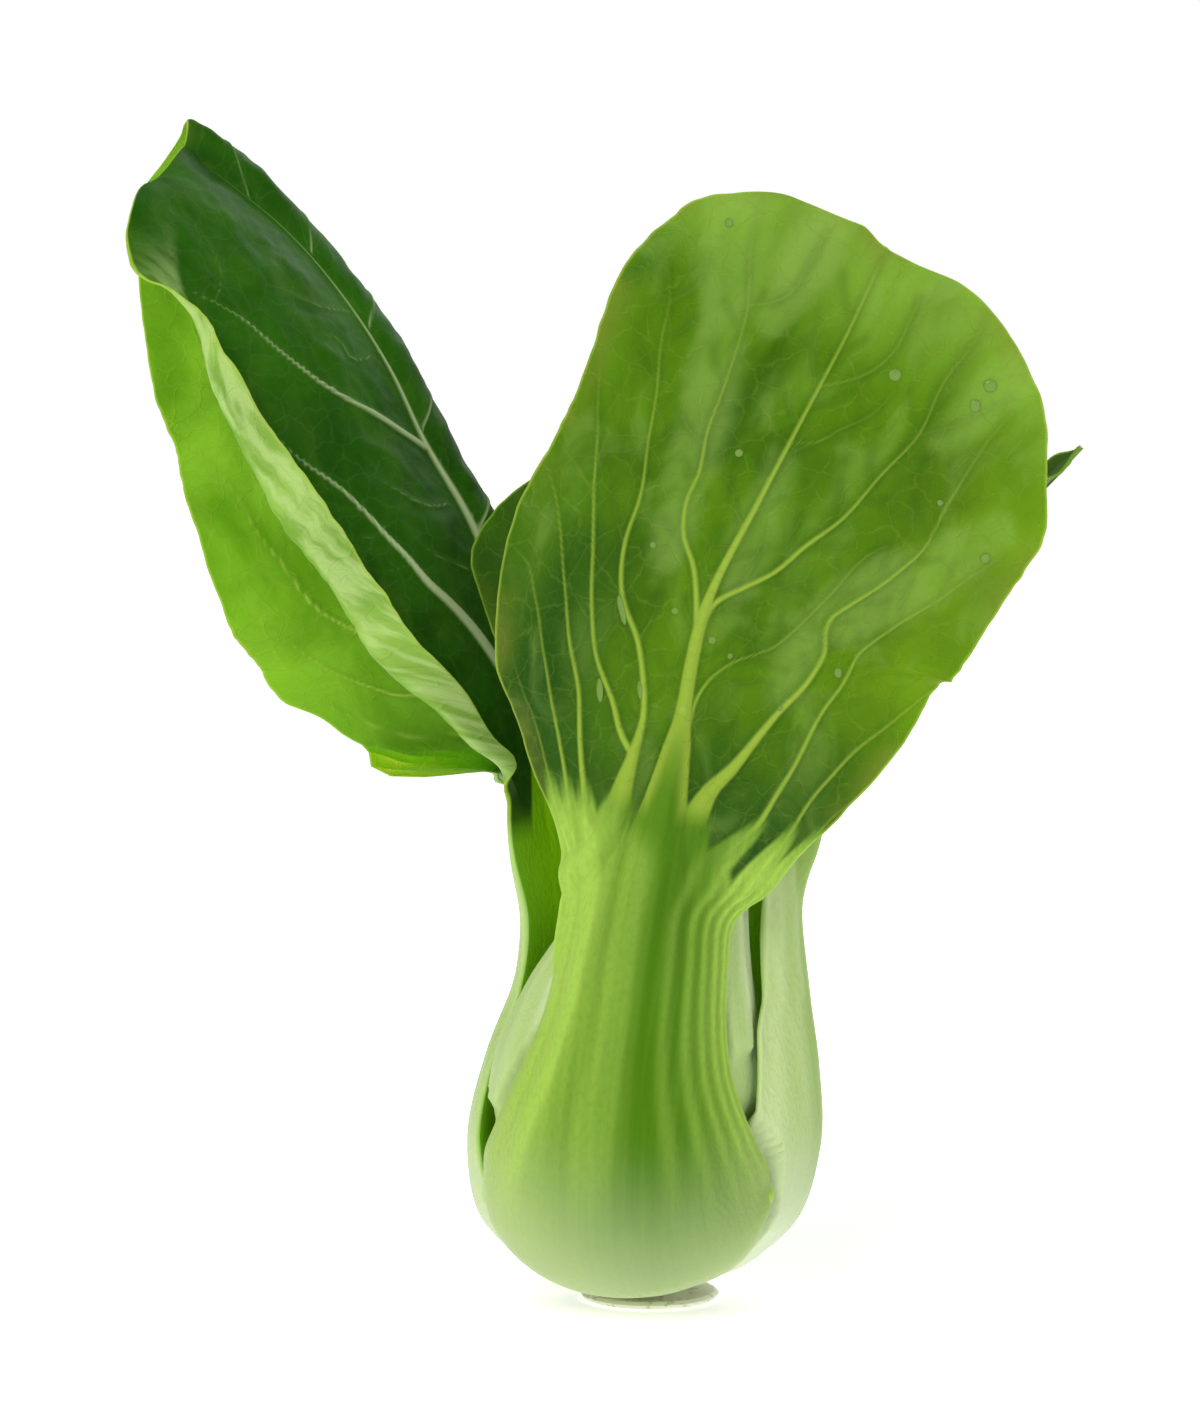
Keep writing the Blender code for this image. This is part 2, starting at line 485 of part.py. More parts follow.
def settle(specs):
    """Places the leaves from the outside in, so that each one is pressed by those around it."""
    room = Room()
    leaves = []
    for spec in specs:
        leaf = Leaf(spec, room)
        inner, _ = leaf.faces(np.linspace(0.0, leaf.length, 260), np.linspace(-1, 1, 121))
        room.take(inner)
        leaves.append(leaf)
    return leaves


def leaf_mesh(leaf):
    """The leaf as one closed mesh: both faces cut into triangles alike, a rim round them and a foot."""
    spec = leaf.spec
    stalk_feet = spec["stalk_length"] * np.linspace(0.0, 1.0, STALK_ROWS, endpoint=False) ** STALK_CROWDING
    blade_steps = spec.get("rows_a_vein", 2) * spec["veins"]
    blade_feet = leaf.blade_feet(np.arange(0, blade_steps) / blade_steps)
    half = np.array(spec.get("columns", SMALL_COLUMNS))
    columns = np.concatenate([-half[:0:-1], half])
    inner, outer = leaf.faces(np.concatenate([stalk_feet, blade_feet]), columns)
    tip_inner, tip_outer = leaf.faces([leaf.length], [0.0])
    rows, width = inner.shape[:2]
    points = np.concatenate([outer.reshape(-1, 3), inner.reshape(-1, 3), tip_outer.reshape(1, 3),
                             tip_inner.reshape(1, 3)]) * MM

    def on_outer(i, j):
        return i * width + j

    def on_inner(i, j):
        return rows * width + i * width + j

    outer_tip, inner_tip = 2 * rows * width, 2 * rows * width + 1
    faces = []
    for i in range(rows - 1):
        for j in range(width - 1):
            a, b, c, d = (i, j), (i, j + 1), (i + 1, j + 1), (i + 1, j)
            pair = ((a, b, c), (a, c, d)) if j >= width // 2 else ((a, b, d), (b, c, d))
            for one in pair:
                faces.append([on_outer(*corner) for corner in one])
                faces.append([on_inner(*corner) for corner in reversed(one)])
    last = rows - 1
    for j in range(width - 1):
        faces.append([on_outer(last, j), on_outer(last, j + 1), outer_tip])
        faces.append([on_inner(last, j + 1), on_inner(last, j), inner_tip])
        faces.append([on_outer(0, j + 1), on_outer(0, j), on_inner(0, j), on_inner(0, j + 1)])
    for i in range(last):
        faces.append([on_outer(i, 0), on_outer(i + 1, 0), on_inner(i + 1, 0), on_inner(i, 0)])
        faces.append([on_outer(i + 1, width - 1), on_outer(i, width - 1), on_inner(i, width - 1),
                      on_inner(i + 1, width - 1)])
    faces.append([on_outer(last, 0), outer_tip, inner_tip, on_inner(last, 0)])
    faces.append([outer_tip, on_outer(last, width - 1), on_inner(last, width - 1), inner_tip])
    mesh = bpy.data.meshes.new(spec["name"])
    mesh.from_pydata(points.tolist(), [], faces)
    mesh.shade_smooth()
    mesh.set_sharp_from_angle(angle=math.radians(60))
    return mesh


def stem_mesh():
    """The cut stem, turned from its profile, with a flat cut face."""
    mesh = bpy.data.meshes.new("stem_base")
    turns = [2 * math.pi * k / STEM_SIDES for k in range(STEM_SIDES)]
    points = [(r * math.cos(t) * MM, r * math.sin(t) * MM, z * MM) for r, z in STEM_PROFILE for t in turns]
    points.append((0.0, 0.0, STEM_TOP * MM))
    faces = [list(reversed(range(STEM_SIDES)))]
    for ring in range(len(STEM_PROFILE) - 1):
        for k in range(STEM_SIDES):
            here, beside = ring * STEM_SIDES + k, ring * STEM_SIDES + (k + 1) % STEM_SIDES
            faces.append([here, beside, beside + STEM_SIDES, here + STEM_SIDES])
    crown = (len(STEM_PROFILE) - 1) * STEM_SIDES
    for k in range(STEM_SIDES):
        faces.append([crown + k, crown + (k + 1) % STEM_SIDES, len(points) - 1])
    mesh.from_pydata(points, [], faces)
    mesh.shade_smooth()
    mesh.set_sharp_from_angle(angle=math.radians(40))
    return mesh


def material(name, colour, roughness):
    made = bpy.data.materials.new(name)
    made.use_nodes = True
    shader = made.node_tree.nodes["Principled BSDF"]
    shader.inputs["Base Color"].default_value = colour
    shader.inputs["Roughness"].default_value = roughness
    return made


def add_object(name, mesh, *materials):
    made = bpy.data.objects.new(name, mesh)
    for one in materials:
        mesh.materials.append(one)
    bpy.context.scene.collection.objects.link(made)
    return made


def paint_blade(leaf, mesh):
    """Gives the faces above the stalk's rows the blade's material."""
    width = 2 * len(leaf.spec.get("columns", SMALL_COLUMNS)) - 1
    side = len(mesh.vertices) // 2 - 1
    for face in mesh.polygons:
        rows = [corner % side // width if corner < 2 * side else STALK_ROWS for corner in face.vertices]
        face.material_index = int(min(rows) >= STALK_ROWS - 1)


def build():
    for old in list(bpy.data.objects):
        bpy.data.objects.remove(old)
    stem = material("stem_cream", STEM_CREAM, 0.6)
    add_object("stem_base", stem_mesh(), stem)
    for leaf in settle(leaf_specs()):
        name = leaf.spec["name"]
        mesh = leaf_mesh(leaf)
        add_object(name, mesh, material(name + "_stalk", STALK_GREEN, 0.45),
                   material(name + "_blade", leaf.spec["colour"], 0.4))
        paint_blade(leaf, mesh)


build()
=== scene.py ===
import math
import bpy
import numpy as np
from mathutils.bvhtree import BVHTree
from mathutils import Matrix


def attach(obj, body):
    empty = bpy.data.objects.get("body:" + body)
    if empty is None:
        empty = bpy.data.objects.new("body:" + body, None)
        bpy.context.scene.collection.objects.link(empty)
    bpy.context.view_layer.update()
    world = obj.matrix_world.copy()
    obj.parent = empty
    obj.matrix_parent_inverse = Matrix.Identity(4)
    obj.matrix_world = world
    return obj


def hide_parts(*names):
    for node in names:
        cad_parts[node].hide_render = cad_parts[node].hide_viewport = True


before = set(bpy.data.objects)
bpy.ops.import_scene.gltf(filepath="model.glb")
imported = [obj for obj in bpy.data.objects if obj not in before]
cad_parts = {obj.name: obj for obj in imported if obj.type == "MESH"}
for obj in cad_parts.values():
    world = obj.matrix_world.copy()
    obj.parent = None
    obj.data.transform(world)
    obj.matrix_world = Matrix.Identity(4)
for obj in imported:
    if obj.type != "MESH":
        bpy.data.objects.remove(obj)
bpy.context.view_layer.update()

# A head of bok choy. Lengths in the tables are millimetres, and meshes are scaled to metres.
# Places read off the photo stand on an upright sheet through the aim, x to the right and z up.

mm = 0.001
aim = np.array([-10.0, 0.0, 118.5])
tilt = math.radians(3.5)
eyeDistance = 789.0
lookAhead = np.array([0.0, math.cos(tilt), -math.sin(tilt)])
lookUp = np.array([0.0, math.sin(tilt), math.cos(tilt)])
eye = aim - eyeDistance * lookAhead

build = dict(
    lamina=0.75, laminaRim=0.42,            # blade thickness, between its veins and at its rim
    stalkEdge=0.5, gap=1.2,                 # extra at a stalk's edge, clear space between nested stalks
    azimuthStep=3.0, heightStep=2.5,        # cells of the nesting table, in degrees and millimetres
    roomHeight=100.0, openRadius=60.0,      # its top, and what it holds where no leaf is
    bulbHeight=30.0,                        # below this, a leaf's lowest cell also fills those under it
    pressFull=80.0, pressEnd=98.0,          # heights between which nesting fades out
    spineCount=400,                         # points of a middle line
    widestHalf=86.0, seekStep=0.5,          # how far out, and how finely, a seen place is looked for
    stalkPenalty=50.0,                      # added to the distance of places on the stalk
    pastRim=200.0,                          # farther out than any leaf reaches
    leastClimb=0.12,                        # least rise of a blade row on its way to the rim
    rollStart=0.65, rollIn=12.0,            # where the rolled edge's columns begin, and its growth
    rollOut=(40.0, 8.0),                    # it ends between these distances from the tip
    crinkle=0.42, crinkleSize=5.5,          # small blisters all over the blade
    frill=0.55, frillSize=7.0,              # uneven waves that grow towards the rim
    nick=0.24, nickSize=3.2,                # small uneven steps of the outline
    foldSize=19.0, quiltSize=5.0,           # broad soft waves, and bulges between the veins
    streakSize=4.4,                         # how softly the painted sheen streaks end
    twigStart=18.0,                         # small veins begin this far beyond the stalk
)

# what a leaf has where its own dictionary says nothing else
plainLeaf = dict(
    fold=0.3, quilt=0.9, innerRise=0.3, webShift=-8.0, foldOver=(-16.0, 26.0), band=0.0, veinScale=1.0,
    joined=[], rings=[], sheens=[], nudges=[], fineEdge={},
    stalkRibs=[(-0.8, 0.10, 0.25), (-0.52, 0.12, 0.35), (-0.2, 0.12, 0.25), (0.16, 0.12, 0.3),
               (0.5, 0.11, 0.35), (0.78, 0.09, 0.25)],
)

outerStalk = [(9, 7.8), (17.5, 10.8), (25, 18.2), (28, 31), (27.2, 46), (25, 61), (23.6, 76)]
middleStalk = [(6.8, 13.4), (12.5, 16.2), (18.5, 22), (22, 32), (21.2, 46), (18.6, 61), (16, 76)]
innerStalk = [(4.9, 17.4), (8.5, 19.8), (12.6, 24), (14.8, 32), (14.2, 44), (12.2, 57), (10, 70)]
heartStalk = [(3, 20.6), (5.2, 23), (7.2, 28), (8, 35), (7.6, 43), (6.6, 52), (5.4, 61)]


def stalkPath(azimuth, path):
    turn = math.radians(azimuth)
    return [(r * math.sin(turn), -r * math.cos(turn), z) for r, z in path]


def onSheet(x, z):
    return aim + np.array([x - aim[0], 0.0, 0.0]) + (z - aim[2]) * lookUp


def placed(points):
    # x and z as seen on the sheet, y the real depth
    found = []
    for x, y, z in points:
        spot = onSheet(x, z)
        found.append(tuple(eye + (spot - eye) * (y - eye[1]) / (spot[1] - eye[1])))
    return found


def seen(points):
    away = points - eye
    grow = eyeDistance / (away @ lookAhead)
    return np.stack([aim[0] + away[..., 0] * grow, aim[2] + (away @ lookUp) * grow], axis=-1)


# ---- curves and profiles

def running(steps):
    return np.concatenate([[0.0], np.cumsum(steps)])


def cubic(x, step, values, slopes, part):
    # smooth from one table row to the next, x from 0 to 1
    return ((2 * x**3 - 3 * x**2 + 1) * values[part] + (x**3 - 2 * x**2 + x) * step * slopes[part]
            + (3 * x**2 - 2 * x**3) * values[part + 1] + (x**3 - x**2) * step * slopes[part + 1])


def smoothCurve(points, count):
    points = np.array(points, float)
    span = np.linalg.norm(np.diff(points, axis=0), axis=1)
    knots = running(span)
    slope = np.diff(points, axis=0) / span[:, None]
    tangent = np.empty_like(points)
    near, far = span[:-1, None], span[1:, None]
    tangent[1:-1] = (slope[:-1] * far + slope[1:] * near) / (near + far)
    tangent[0] = 1.5 * slope[0] - 0.5 * tangent[1] if len(points) > 2 else slope[0]
    tangent[-1] = 1.5 * slope[-1] - 0.5 * tangent[-2] if len(points) > 2 else slope[0]
    at = np.linspace(0.0, knots[-1], 8 * count)
    part = np.clip(np.searchsorted(knots, at, side="right") - 1, 0, len(span) - 1)
    step = span[part][:, None]
    dense = cubic((at[:, None] - knots[part][:, None]) / step, step, points, tangent, part)
    travel = running(np.linalg.norm(np.diff(dense, axis=0), axis=1))
    even = np.linspace(0.0, travel[-1], count)
    return np.stack([np.interp(even, travel, axis) for axis in dense.T], axis=1), travel[-1]


def profile(table, at):
    position, value = np.array(table, float).T
    span = np.diff(position)
    slope = np.diff(value) / span
    tangent = np.zeros_like(value)
    rising = slope[:-1] * slope[1:] > 0
    total = np.where(rising, slope[:-1] + slope[1:], 1)
    tangent[1:-1] = np.where(rising, 2 * slope[:-1] * slope[1:] / total, 0)
    at = np.clip(at, position[0], position[-1])
    part = np.clip(np.searchsorted(position, at, side="right") - 1, 0, len(span) - 1)
    step = span[part]
    return cubic((at - position[part]) / step, step, value, tangent, part)


def ease(low, high, at):
    x = np.clip((at - low) / (high - low), 0.0, 1.0)
    return x * x * (3 - 2 * x)


def unit(vectors):
    return vectors / np.linalg.norm(vectors, axis=-1, keepdims=True)


def amongFour(table, low, high, x, y):
    # the value between four neighbouring cells
    (a, h), (b, k) = low, high
    return ((table[a, h] * (1 - x) + table[b, h] * x) * (1 - y)
            + (table[a, k] * (1 - x) + table[b, k] * x) * y)


def softNoise(u, v, seed):
    # smooth random bumps of about one unit, from -1 to 1
    size = 64
    lattice = np.random.RandomState(seed).uniform(-1, 1, (size, size))
    i, j = np.floor(u).astype(int), np.floor(v).astype(int)
    return amongFour(lattice, (i % size, j % size), ((i + 1) % size, (j + 1) % size),
                     ease(0.0, 1.0, u - i), ease(0.0, 1.0, v - j))


# ---- how leaves nest: the smallest radius taken so far, by azimuth and height

class Nest:
    def __init__(self):
        self.shape = (int(360 / build["azimuthStep"]), int(build["roomHeight"] / build["heightStep"]))
        self.taken = np.full(self.shape, build["openRadius"])

    def cells(self, points):
        azimuth = np.degrees(np.arctan2(points[..., 0], -points[..., 1])) % 360 / build["azimuthStep"]
        height = np.clip(points[..., 2] / build["heightStep"] - 0.5, 0, self.shape[1] - 1.001)
        return azimuth, height, np.hypot(points[..., 0], points[..., 1])

    def smoothed(self):
        low = self.taken
        for step in (-3, -2, -1, 1, 2, 3):
            low = np.minimum(low, np.roll(self.taken, step, axis=0))
        edge = np.pad(low, ((0, 0), (1, 1)), mode="edge")
        low = np.minimum(low, np.minimum(edge[:, :-2], edge[:, 2:]))
        soft = sum(np.roll(low, step, axis=0) for step in (-2, -1, 0, 1, 2)) / 5
        edge = np.pad(soft, ((0, 0), (1, 1)), mode="edge")
        return (edge[:, :-2] + soft + edge[:, 2:]) / 3

    def free(self, table, points):
        azimuth, height, _ = self.cells(points)
        a, h = np.floor(azimuth).astype(int) % self.shape[0], np.floor(height).astype(int)
        return amongFour(table, (a, h), ((a + 1) % self.shape[0], h + 1),
                         azimuth - np.floor(azimuth), height - h)

    def take(self, points):
        points = points[points[..., 2] < build["roomHeight"]]
        azimuth, height, radius = self.cells(points)
        leaf = np.full(self.shape, build["openRadius"])
        for shift in (0.0, 1.0):
            a = np.floor(azimuth + shift).astype(int) % self.shape[0]
            for lift in (0.0, 1.0):
                h = np.clip(np.floor(height + lift).astype(int), 0, self.shape[1] - 1)
                np.minimum.at(leaf, (a, h), radius)
        reached = build["openRadius"] - 1.0
        for h in range(int(build["bulbHeight"] / build["heightStep"]) - 1, -1, -1):
            under = (leaf[:, h] > reached) & (leaf[:, h + 1] < reached)
            leaf[under, h] = leaf[under, h + 1]
        self.taken = np.minimum(self.taken, leaf)


# ---- one grown leaf: flat pattern, fold, flesh and veins

class Leaf:
    def __init__(self, spec, nest):
        spec = dict(plainLeaf, **spec)
        self.spec, self.stalk = spec, spec["stalkLength"]
        self.nest, self.table = nest, nest.smoothed()
        self.spine, self.length = smoothCurve(spec["spine"], build["spineCount"])
        self.measure = np.linspace(0.0, self.length, build["spineCount"])
        azimuth = math.radians(spec["azimuth"])
        across = np.array([math.cos(azimuth), math.sin(azimuth), 0.0])
        self.ahead = unit(np.gradient(self.spine, axis=0))
        if "steady" in spec:
            # the blade follows an evened direction, so that its rows don't cross
            reach = int(0.5 * spec["steady"] * build["spineCount"] / self.length)
            weights = np.hanning(2 * reach + 3)[1:-1]
            weights = weights / weights.sum()
            padded = np.pad(self.ahead, ((reach, reach), (0, 0)), mode="edge")
            even = np.stack([np.convolve(axis, weights, "valid") for axis in padded.T], axis=1)
            late = self.pastStalk(0.0, 30.0, self.measure)[:, None]
            self.ahead = unit(self.ahead * (1 - late) + even * late)
        level = unit(across - (self.ahead @ across)[:, None] * self.ahead)
        inward = np.cross(self.ahead, level)
        turn = np.radians(profile(spec["turn"], self.measure))[:, None]
        self.across = level * np.cos(turn) + inward * np.sin(turn)
        self.inward = np.cross(self.ahead, self.across)
        radius = np.hypot(self.spine[:, 0], self.spine[:, 1])
        facing = -(self.inward[:, :2] * self.spine[:, :2]).sum(axis=1) / radius
        self.wrap = spec["wrap"] * np.clip(facing, 0.0, 1.0) / radius
        self.sides = {-1: self.outline(-1), 1: self.outline(1)}
        self.spreadRows()

    def pastStalk(self, low, high, along):
        return ease(self.stalk + low, self.stalk + high, along)

    def unrolled(self, points, side, least):
        # places seen from the front, as (along, out) on the flat pattern
        outs = np.arange(least, build["widestHalf"], build["seekStep"])
        along, out = np.meshgrid(self.measure[::2], outs, indexing="ij")
        sheet = seen(self.surface(along, out, side * np.ones_like(out))[0])
        onStalk = along < self.spec["edgeFrom"]
        flat = []
        for point in points:
            away = np.linalg.norm(sheet - np.array(point[:2]), axis=-1)
            away[onStalk] += build["stalkPenalty"]
            nearest = np.unravel_index(away.argmin(), away.shape)
            flat.append((along[nearest], out[nearest]))
        return flat

    def outline(self, side):
        spec = self.spec
        name = "left" if side < 0 else "right"
        edge = list(spec["stalkHalf"])
        if name + "Seen" in spec:
            edge += self.unrolled(spec[name + "Seen"][:-1], side, 6.0)
        else:
            edge += spec[name]
        edge = [point for point in edge if point[0] < self.length or point[1] > 3.0]
        samples, _ = smoothCurve(edge + [(self.length, 0.0)], 500)
        along, out = samples.T
        start = int(np.argmax(along > self.stalk))
        step = np.diff(samples[start:], axis=0)
        climb = step[:, 0] - spec["sweep"] * step[:, 1]
        stride = np.maximum(climb, build["leastClimb"] * np.hypot(step[:, 0], step[:, 1]))
        height = running(stride)
        foot = along.copy()
        foot[start:] = along[start] + height * (self.length - along[start]) / height[-1]
        foot[:start] = np.minimum(np.maximum.accumulate(along[:start]), foot[start])
        return along, np.maximum(out, 0.0), foot

    def spreadRows(self):
        self.foot = np.linspace(self.stalk, self.length, 300)
        share = 0.4 * (self.foot - self.stalk) / (self.length - self.stalk)
        for along, out, foot in self.sides.values():
            travel = running(np.hypot(np.diff(along), np.diff(out)))
            reached = np.interp(self.foot, foot, travel)
            share = share + 0.3 * (reached - reached[0]) / (reached[-1] - reached[0])
        self.share = share

    def alongSpine(self, values, at):
        return np.stack([np.interp(at, self.measure, axis) for axis in values.T], axis=-1)

    def surface(self, along, out, sign, crease=None, fine=False):
        spec = self.spec
        blade = self.pastStalk(*spec["foldOver"], along)
        start, curl, reach = (np.where(sign < 0, left, right)
                              for left, right in zip(spec["bendLeft"], spec["bendRight"]))
        start = blade * np.radians(start)
        curl = (1 - blade) * np.interp(along, self.measure, self.wrap) + blade * np.radians(curl) / reach
        curl = np.where(np.abs(curl) < 1e-5, 1e-5, curl)
        flat = out if crease is None else np.minimum(out, crease)
        arc = np.minimum(flat, reach + (1 - blade) * build["pastRim"])
        angle = start + curl * arc
        sideways = (np.sin(angle) - np.sin(start)) / curl + (flat - arc) * np.cos(angle)
        lift = (np.cos(start) - np.cos(angle)) / curl + (flat - arc) * np.sin(angle)
        if crease is not None:
            # the rolled edge: a tight turn, then a flap that lies back
            width, turn = spec["fineRoll"] if fine else spec["roll"]
            tight = math.radians(turn) / width
            turned = np.minimum(out - flat, width if fine else build["pastRim"])
            rolled = angle + tight * turned
            flap = out - flat - turned
            sideways = sideways + (np.sin(rolled) - np.sin(angle)) / tight + flap * np.cos(rolled)
            lift = lift + (np.cos(angle) - np.cos(rolled)) / tight + flap * np.sin(rolled)
            angle = rolled
        across, inward = self.alongSpine(self.across, along), self.alongSpine(self.inward, along)
        normal = inward * np.cos(angle)[..., None] - across * (sign * np.sin(angle))[..., None]
        points = (self.alongSpine(self.spine, along) + across * (sign * sideways)[..., None]
                  + inward * lift[..., None])
        return points, normal

    def body(self, along, out, fine):
        # the flesh of stalk and midrib on the outer face. A leaf with drawn ribs fans out into them
        spec = self.spec
        half = profile(spec["stalkHalf"] + [rib for rib in spec["ribHalf"]
                                            if rib[0] > spec["stalkHalf"][-1][0]], along)
        rise = profile(spec["flesh"], along)
        fullness = 0.5 + 0.65 * ease(12.0, 44.0, along)
        flesh = rise * np.clip(1 - (out / np.maximum(half, 0.8)) ** 2, 0.0, 1.0) ** fullness
        if fine and "fan" in spec:
            flesh = flesh * (1 - ease(*spec["fan"], along))
        return flesh

    def rolling(self, along, sign):
        # how much of the rolled edge there is here. Only the right half has one
        early, late = build["rollOut"]
        rolls = self.pastStalk(0.0, build["rollIn"], along) * (sign > 0)
        return rolls * (1 - ease(self.length - early, self.length - late, along))

    def sheet(self, feet, columns, fine):
        spec = self.spec
        feet, columns = np.asarray(feet, float)[:, None], np.asarray(columns, float)[None, :]
        share = np.abs(columns) * np.ones_like(feet)
        sign = np.where(columns < 0, -1.0, 1.0) * np.ones_like(feet)
        edgeAlong, edgeOut = (
            np.where(sign < 0, np.interp(feet, self.sides[-1][2], self.sides[-1][k]),
                     np.interp(feet, self.sides[1][2], self.sides[1][k])) for k in (0, 1))
        flap = 0.0
        if fine and "flap" in spec:
            rolls = self.rolling(edgeAlong, sign)
            flap, shift = profile(spec["flap"], edgeAlong) * rolls, profile(spec["flapShift"], edgeAlong)
            flap = flap * (1 + 0.22 * softNoise(edgeAlong / 9.0, 0.4 * sign, spec["seed"] + 5))
            edgeOut = edgeOut + shift * rolls + flap
        if fine:
            for side, table in spec["fineEdge"].items():
                edgeOut = edgeOut + profile(table, feet) * (sign == side)
            nick = softNoise(edgeAlong / build["nickSize"], 7.0 * sign + feet / build["nickSize"],
                             spec["seed"])       # 7 keeps the two sides apart
            inBlade = self.pastStalk(0.0, 16.0, edgeAlong)
            edgeOut = edgeOut + build["nick"] * nick * inBlade * np.minimum(edgeOut / 8.0, 1.0)
        along = feet + (edgeAlong - feet) * (1 - (1 - share) ** 1.5)
        out = edgeOut * share
        crease, rolled = None, 0.0 * share
        if "roll" in spec:
            rolls = self.rolling(along, sign)
            crease = edgeOut - (spec["fineRoll"][0] if fine else spec["roll"][0]) * rolls - flap
            past = (share - build["rollStart"]) / (1 - build["rollStart"])
            bandOut = np.where(past > 0, crease + (edgeOut - crease) * past,
                               crease * share / build["rollStart"])
            out = bandOut * rolls + out * (1 - rolls)
            rolled = ease(0.1, 0.35, past) * rolls
        points, normal = self.surface(along, out, sign, crease, fine)
        blade = self.pastStalk(-4.0, 24.0, along)
        row = np.interp(feet, self.foot, self.share) * np.ones_like(share)
        return dict(points=points, normal=normal, along=along, out=out, sign=sign, share=share,
                    edgeOut=edgeOut, blade=blade, row=row, rolled=rolled)

    def pressed(self, points, outer):
        radius = np.hypot(outer[..., 0], outer[..., 1])
        limit = self.nest.free(self.table, outer) - build["gap"]
        press = np.maximum(radius - limit, 0.0) * (1 - ease(build["pressFull"], build["pressEnd"],
                                                            outer[..., 2]))
        away = outer * np.array([1.0, 1.0, 0.0]) / np.maximum(radius, 1e-6)[..., None]
        move = away * press[..., None]
        return points - move, outer - move

    def ruffled(self, grid):
        height, waves, offset = self.spec["ruffle"]
        return height * grid["share"]**2.6 * np.sin(2 * math.pi * waves * grid["row"] + offset
                                                    + 1.3 * grid["sign"])

    def plainFaces(self, feet, columns):
        # as the solids have them, for nesting
        grid = self.sheet(feet, columns, False)
        points = grid["points"] + grid["normal"] * (grid["blade"] * self.ruffled(grid))[..., None]
        flesh = self.body(grid["along"], grid["out"], False)
        thick = build["lamina"] + build["stalkEdge"] * (1 - grid["blade"]) + flesh
        return self.pressed(points, points - grid["normal"] * thick[..., None])

    def roughened(self, lift, along, side, share, near):
        # frill, broad waves, bulges between the veins and small blisters, on top of the ruffle
        spec, size = self.spec, build["crinkleSize"]
        frill = softNoise(along / build["frillSize"], side / build["frillSize"], spec["seed"] + 1)
        lift = lift + build["frill"] * frill * share**3
        fold = softNoise(along / (1.8 * build["foldSize"]), side / build["foldSize"], spec["seed"] + 4)
        lift = lift + spec["fold"] * fold * ease(0.0, 0.3, share) * (1 - 0.6 * share)
        bulge = 1 - np.exp(-(near / build["quiltSize"]) ** 2)
        lift = lift + spec["quilt"] * bulge * 2.2 * share**0.5 * (1 - share)
        crinkle = (softNoise(along / size, side / size, spec["seed"] + 2)
                   + 0.5 * softNoise(2.3 * along / size, 2.3 * side / size, spec["seed"] + 3))
        return lift + build["crinkle"] * crinkle * np.clip(near / 3.0, 0.0, 1.0) * (1 - 0.5 * share)

    def grooves(self, across, along):
        # long low ribs that run up the stalk
        rise = ease(14.0, 46.0, along) * (1 - self.pastStalk(0.0, 14.0, along))
        total = 0.0 * across
        for middle, width, height in self.spec["stalkRibs"]:
            total = total + height * np.exp(-((across - middle) / width) ** 2)
        return total * rise

    def joints(self, along, side):
        # faint rings where ribs part
        rings = 0.0 * along
        for spot in self.spec["rings"]:
            ringAlong, ringOut = self.unrolled([spot], 1, 0.5)[0]
            joint = np.exp(-((along - ringAlong + 0.3 * (side - ringOut)) / 0.7) ** 2)
            rings = np.maximum(rings, joint * np.exp(-((side - ringOut) / 2.6) ** 4))
        return rings

    def paintedSheenStreaks(self, along, side):
        # painted sheen: pale streaks along the given paths, where the blade shines
        paths = [vein(self.unrolled(path, 1, -60.0), [half for _, _, half in path], 1.0)
                 for path in self.spec["sheens"]]
        return np.exp(-(veinField(along, side, paths)[1] / build["streakSize"]) ** 2)

    def fineFaces(self, feet, columns, veins):
        spec, grid = self.spec, self.sheet(feet, columns, True)
        along, out, sign, share, blade = (grid[k] for k in ("along", "out", "sign", "share", "blade"))
        side = out * sign
        ridge, near = veinField(along, side, veins)
        lift = self.roughened(self.ruffled(grid), along, side, share, near)
        points = grid["points"] + grid["normal"] * (blade * lift)[..., None]

        flesh = self.body(along, out, True)
        groove = self.grooves(share * sign, along) * (1 - blade)
        rings = self.joints(along, side)
        ridge = ridge * (1 + 0.09 * rings)
        lamina = build["laminaRim"] + (build["lamina"] - build["laminaRim"]) * (1 - share**4)
        thick = lamina + build["stalkEdge"] * (1 - blade) + flesh + groove
        outer = points - grid["normal"] * (thick + ridge)[..., None]
        points = points + grid["normal"] * (spec["innerRise"] * ridge * blade)[..., None]
        points, outer = self.pressed(points, outer)
        for part, start, end, outward, shift in spec["nudges"]:
            weight = ease(*start, along) * (1 - ease(*end, along)) * ease(*outward, out) * (sign == part)
            move = weight[..., None] * np.array(shift)
            points, outer = points + move, outer + move

        # the green of the blade runs down between the ribs
        webStart = self.stalk + spec["webShift"] + 14.0 * (1 - ease(0.0, 3.4, near))
        way = (along - self.stalk) / (self.length - self.stalk)
        width = side / profile(spec["stalkHalf"], along)
        # the dark line beside the veins is painted shade, where a raised vein would shade the blade
        marks = dict(flesh=flesh, vein=ridge, groove=groove, blade=blade, rolled=grid["rolled"],
                     ring=rings, veinShade=np.exp(-(near / 1.0) ** 2) * blade * (1 - share**3),
                     rim=np.maximum(grid["edgeOut"] - out, 0.0), way=np.clip(way, 0.0, 1.0),
                     leafy=ease(0.0, 7.0, along - webStart), sheen=self.paintedSheenStreaks(along, side),
                     flank=np.abs(width - spec["band"]),
                     flat=np.stack([along, side, 0.0 * along], axis=-1) * mm)
        return points, outer, marks

    def bladeFeet(self, shares):
        return np.interp(shares, self.share, self.foot)


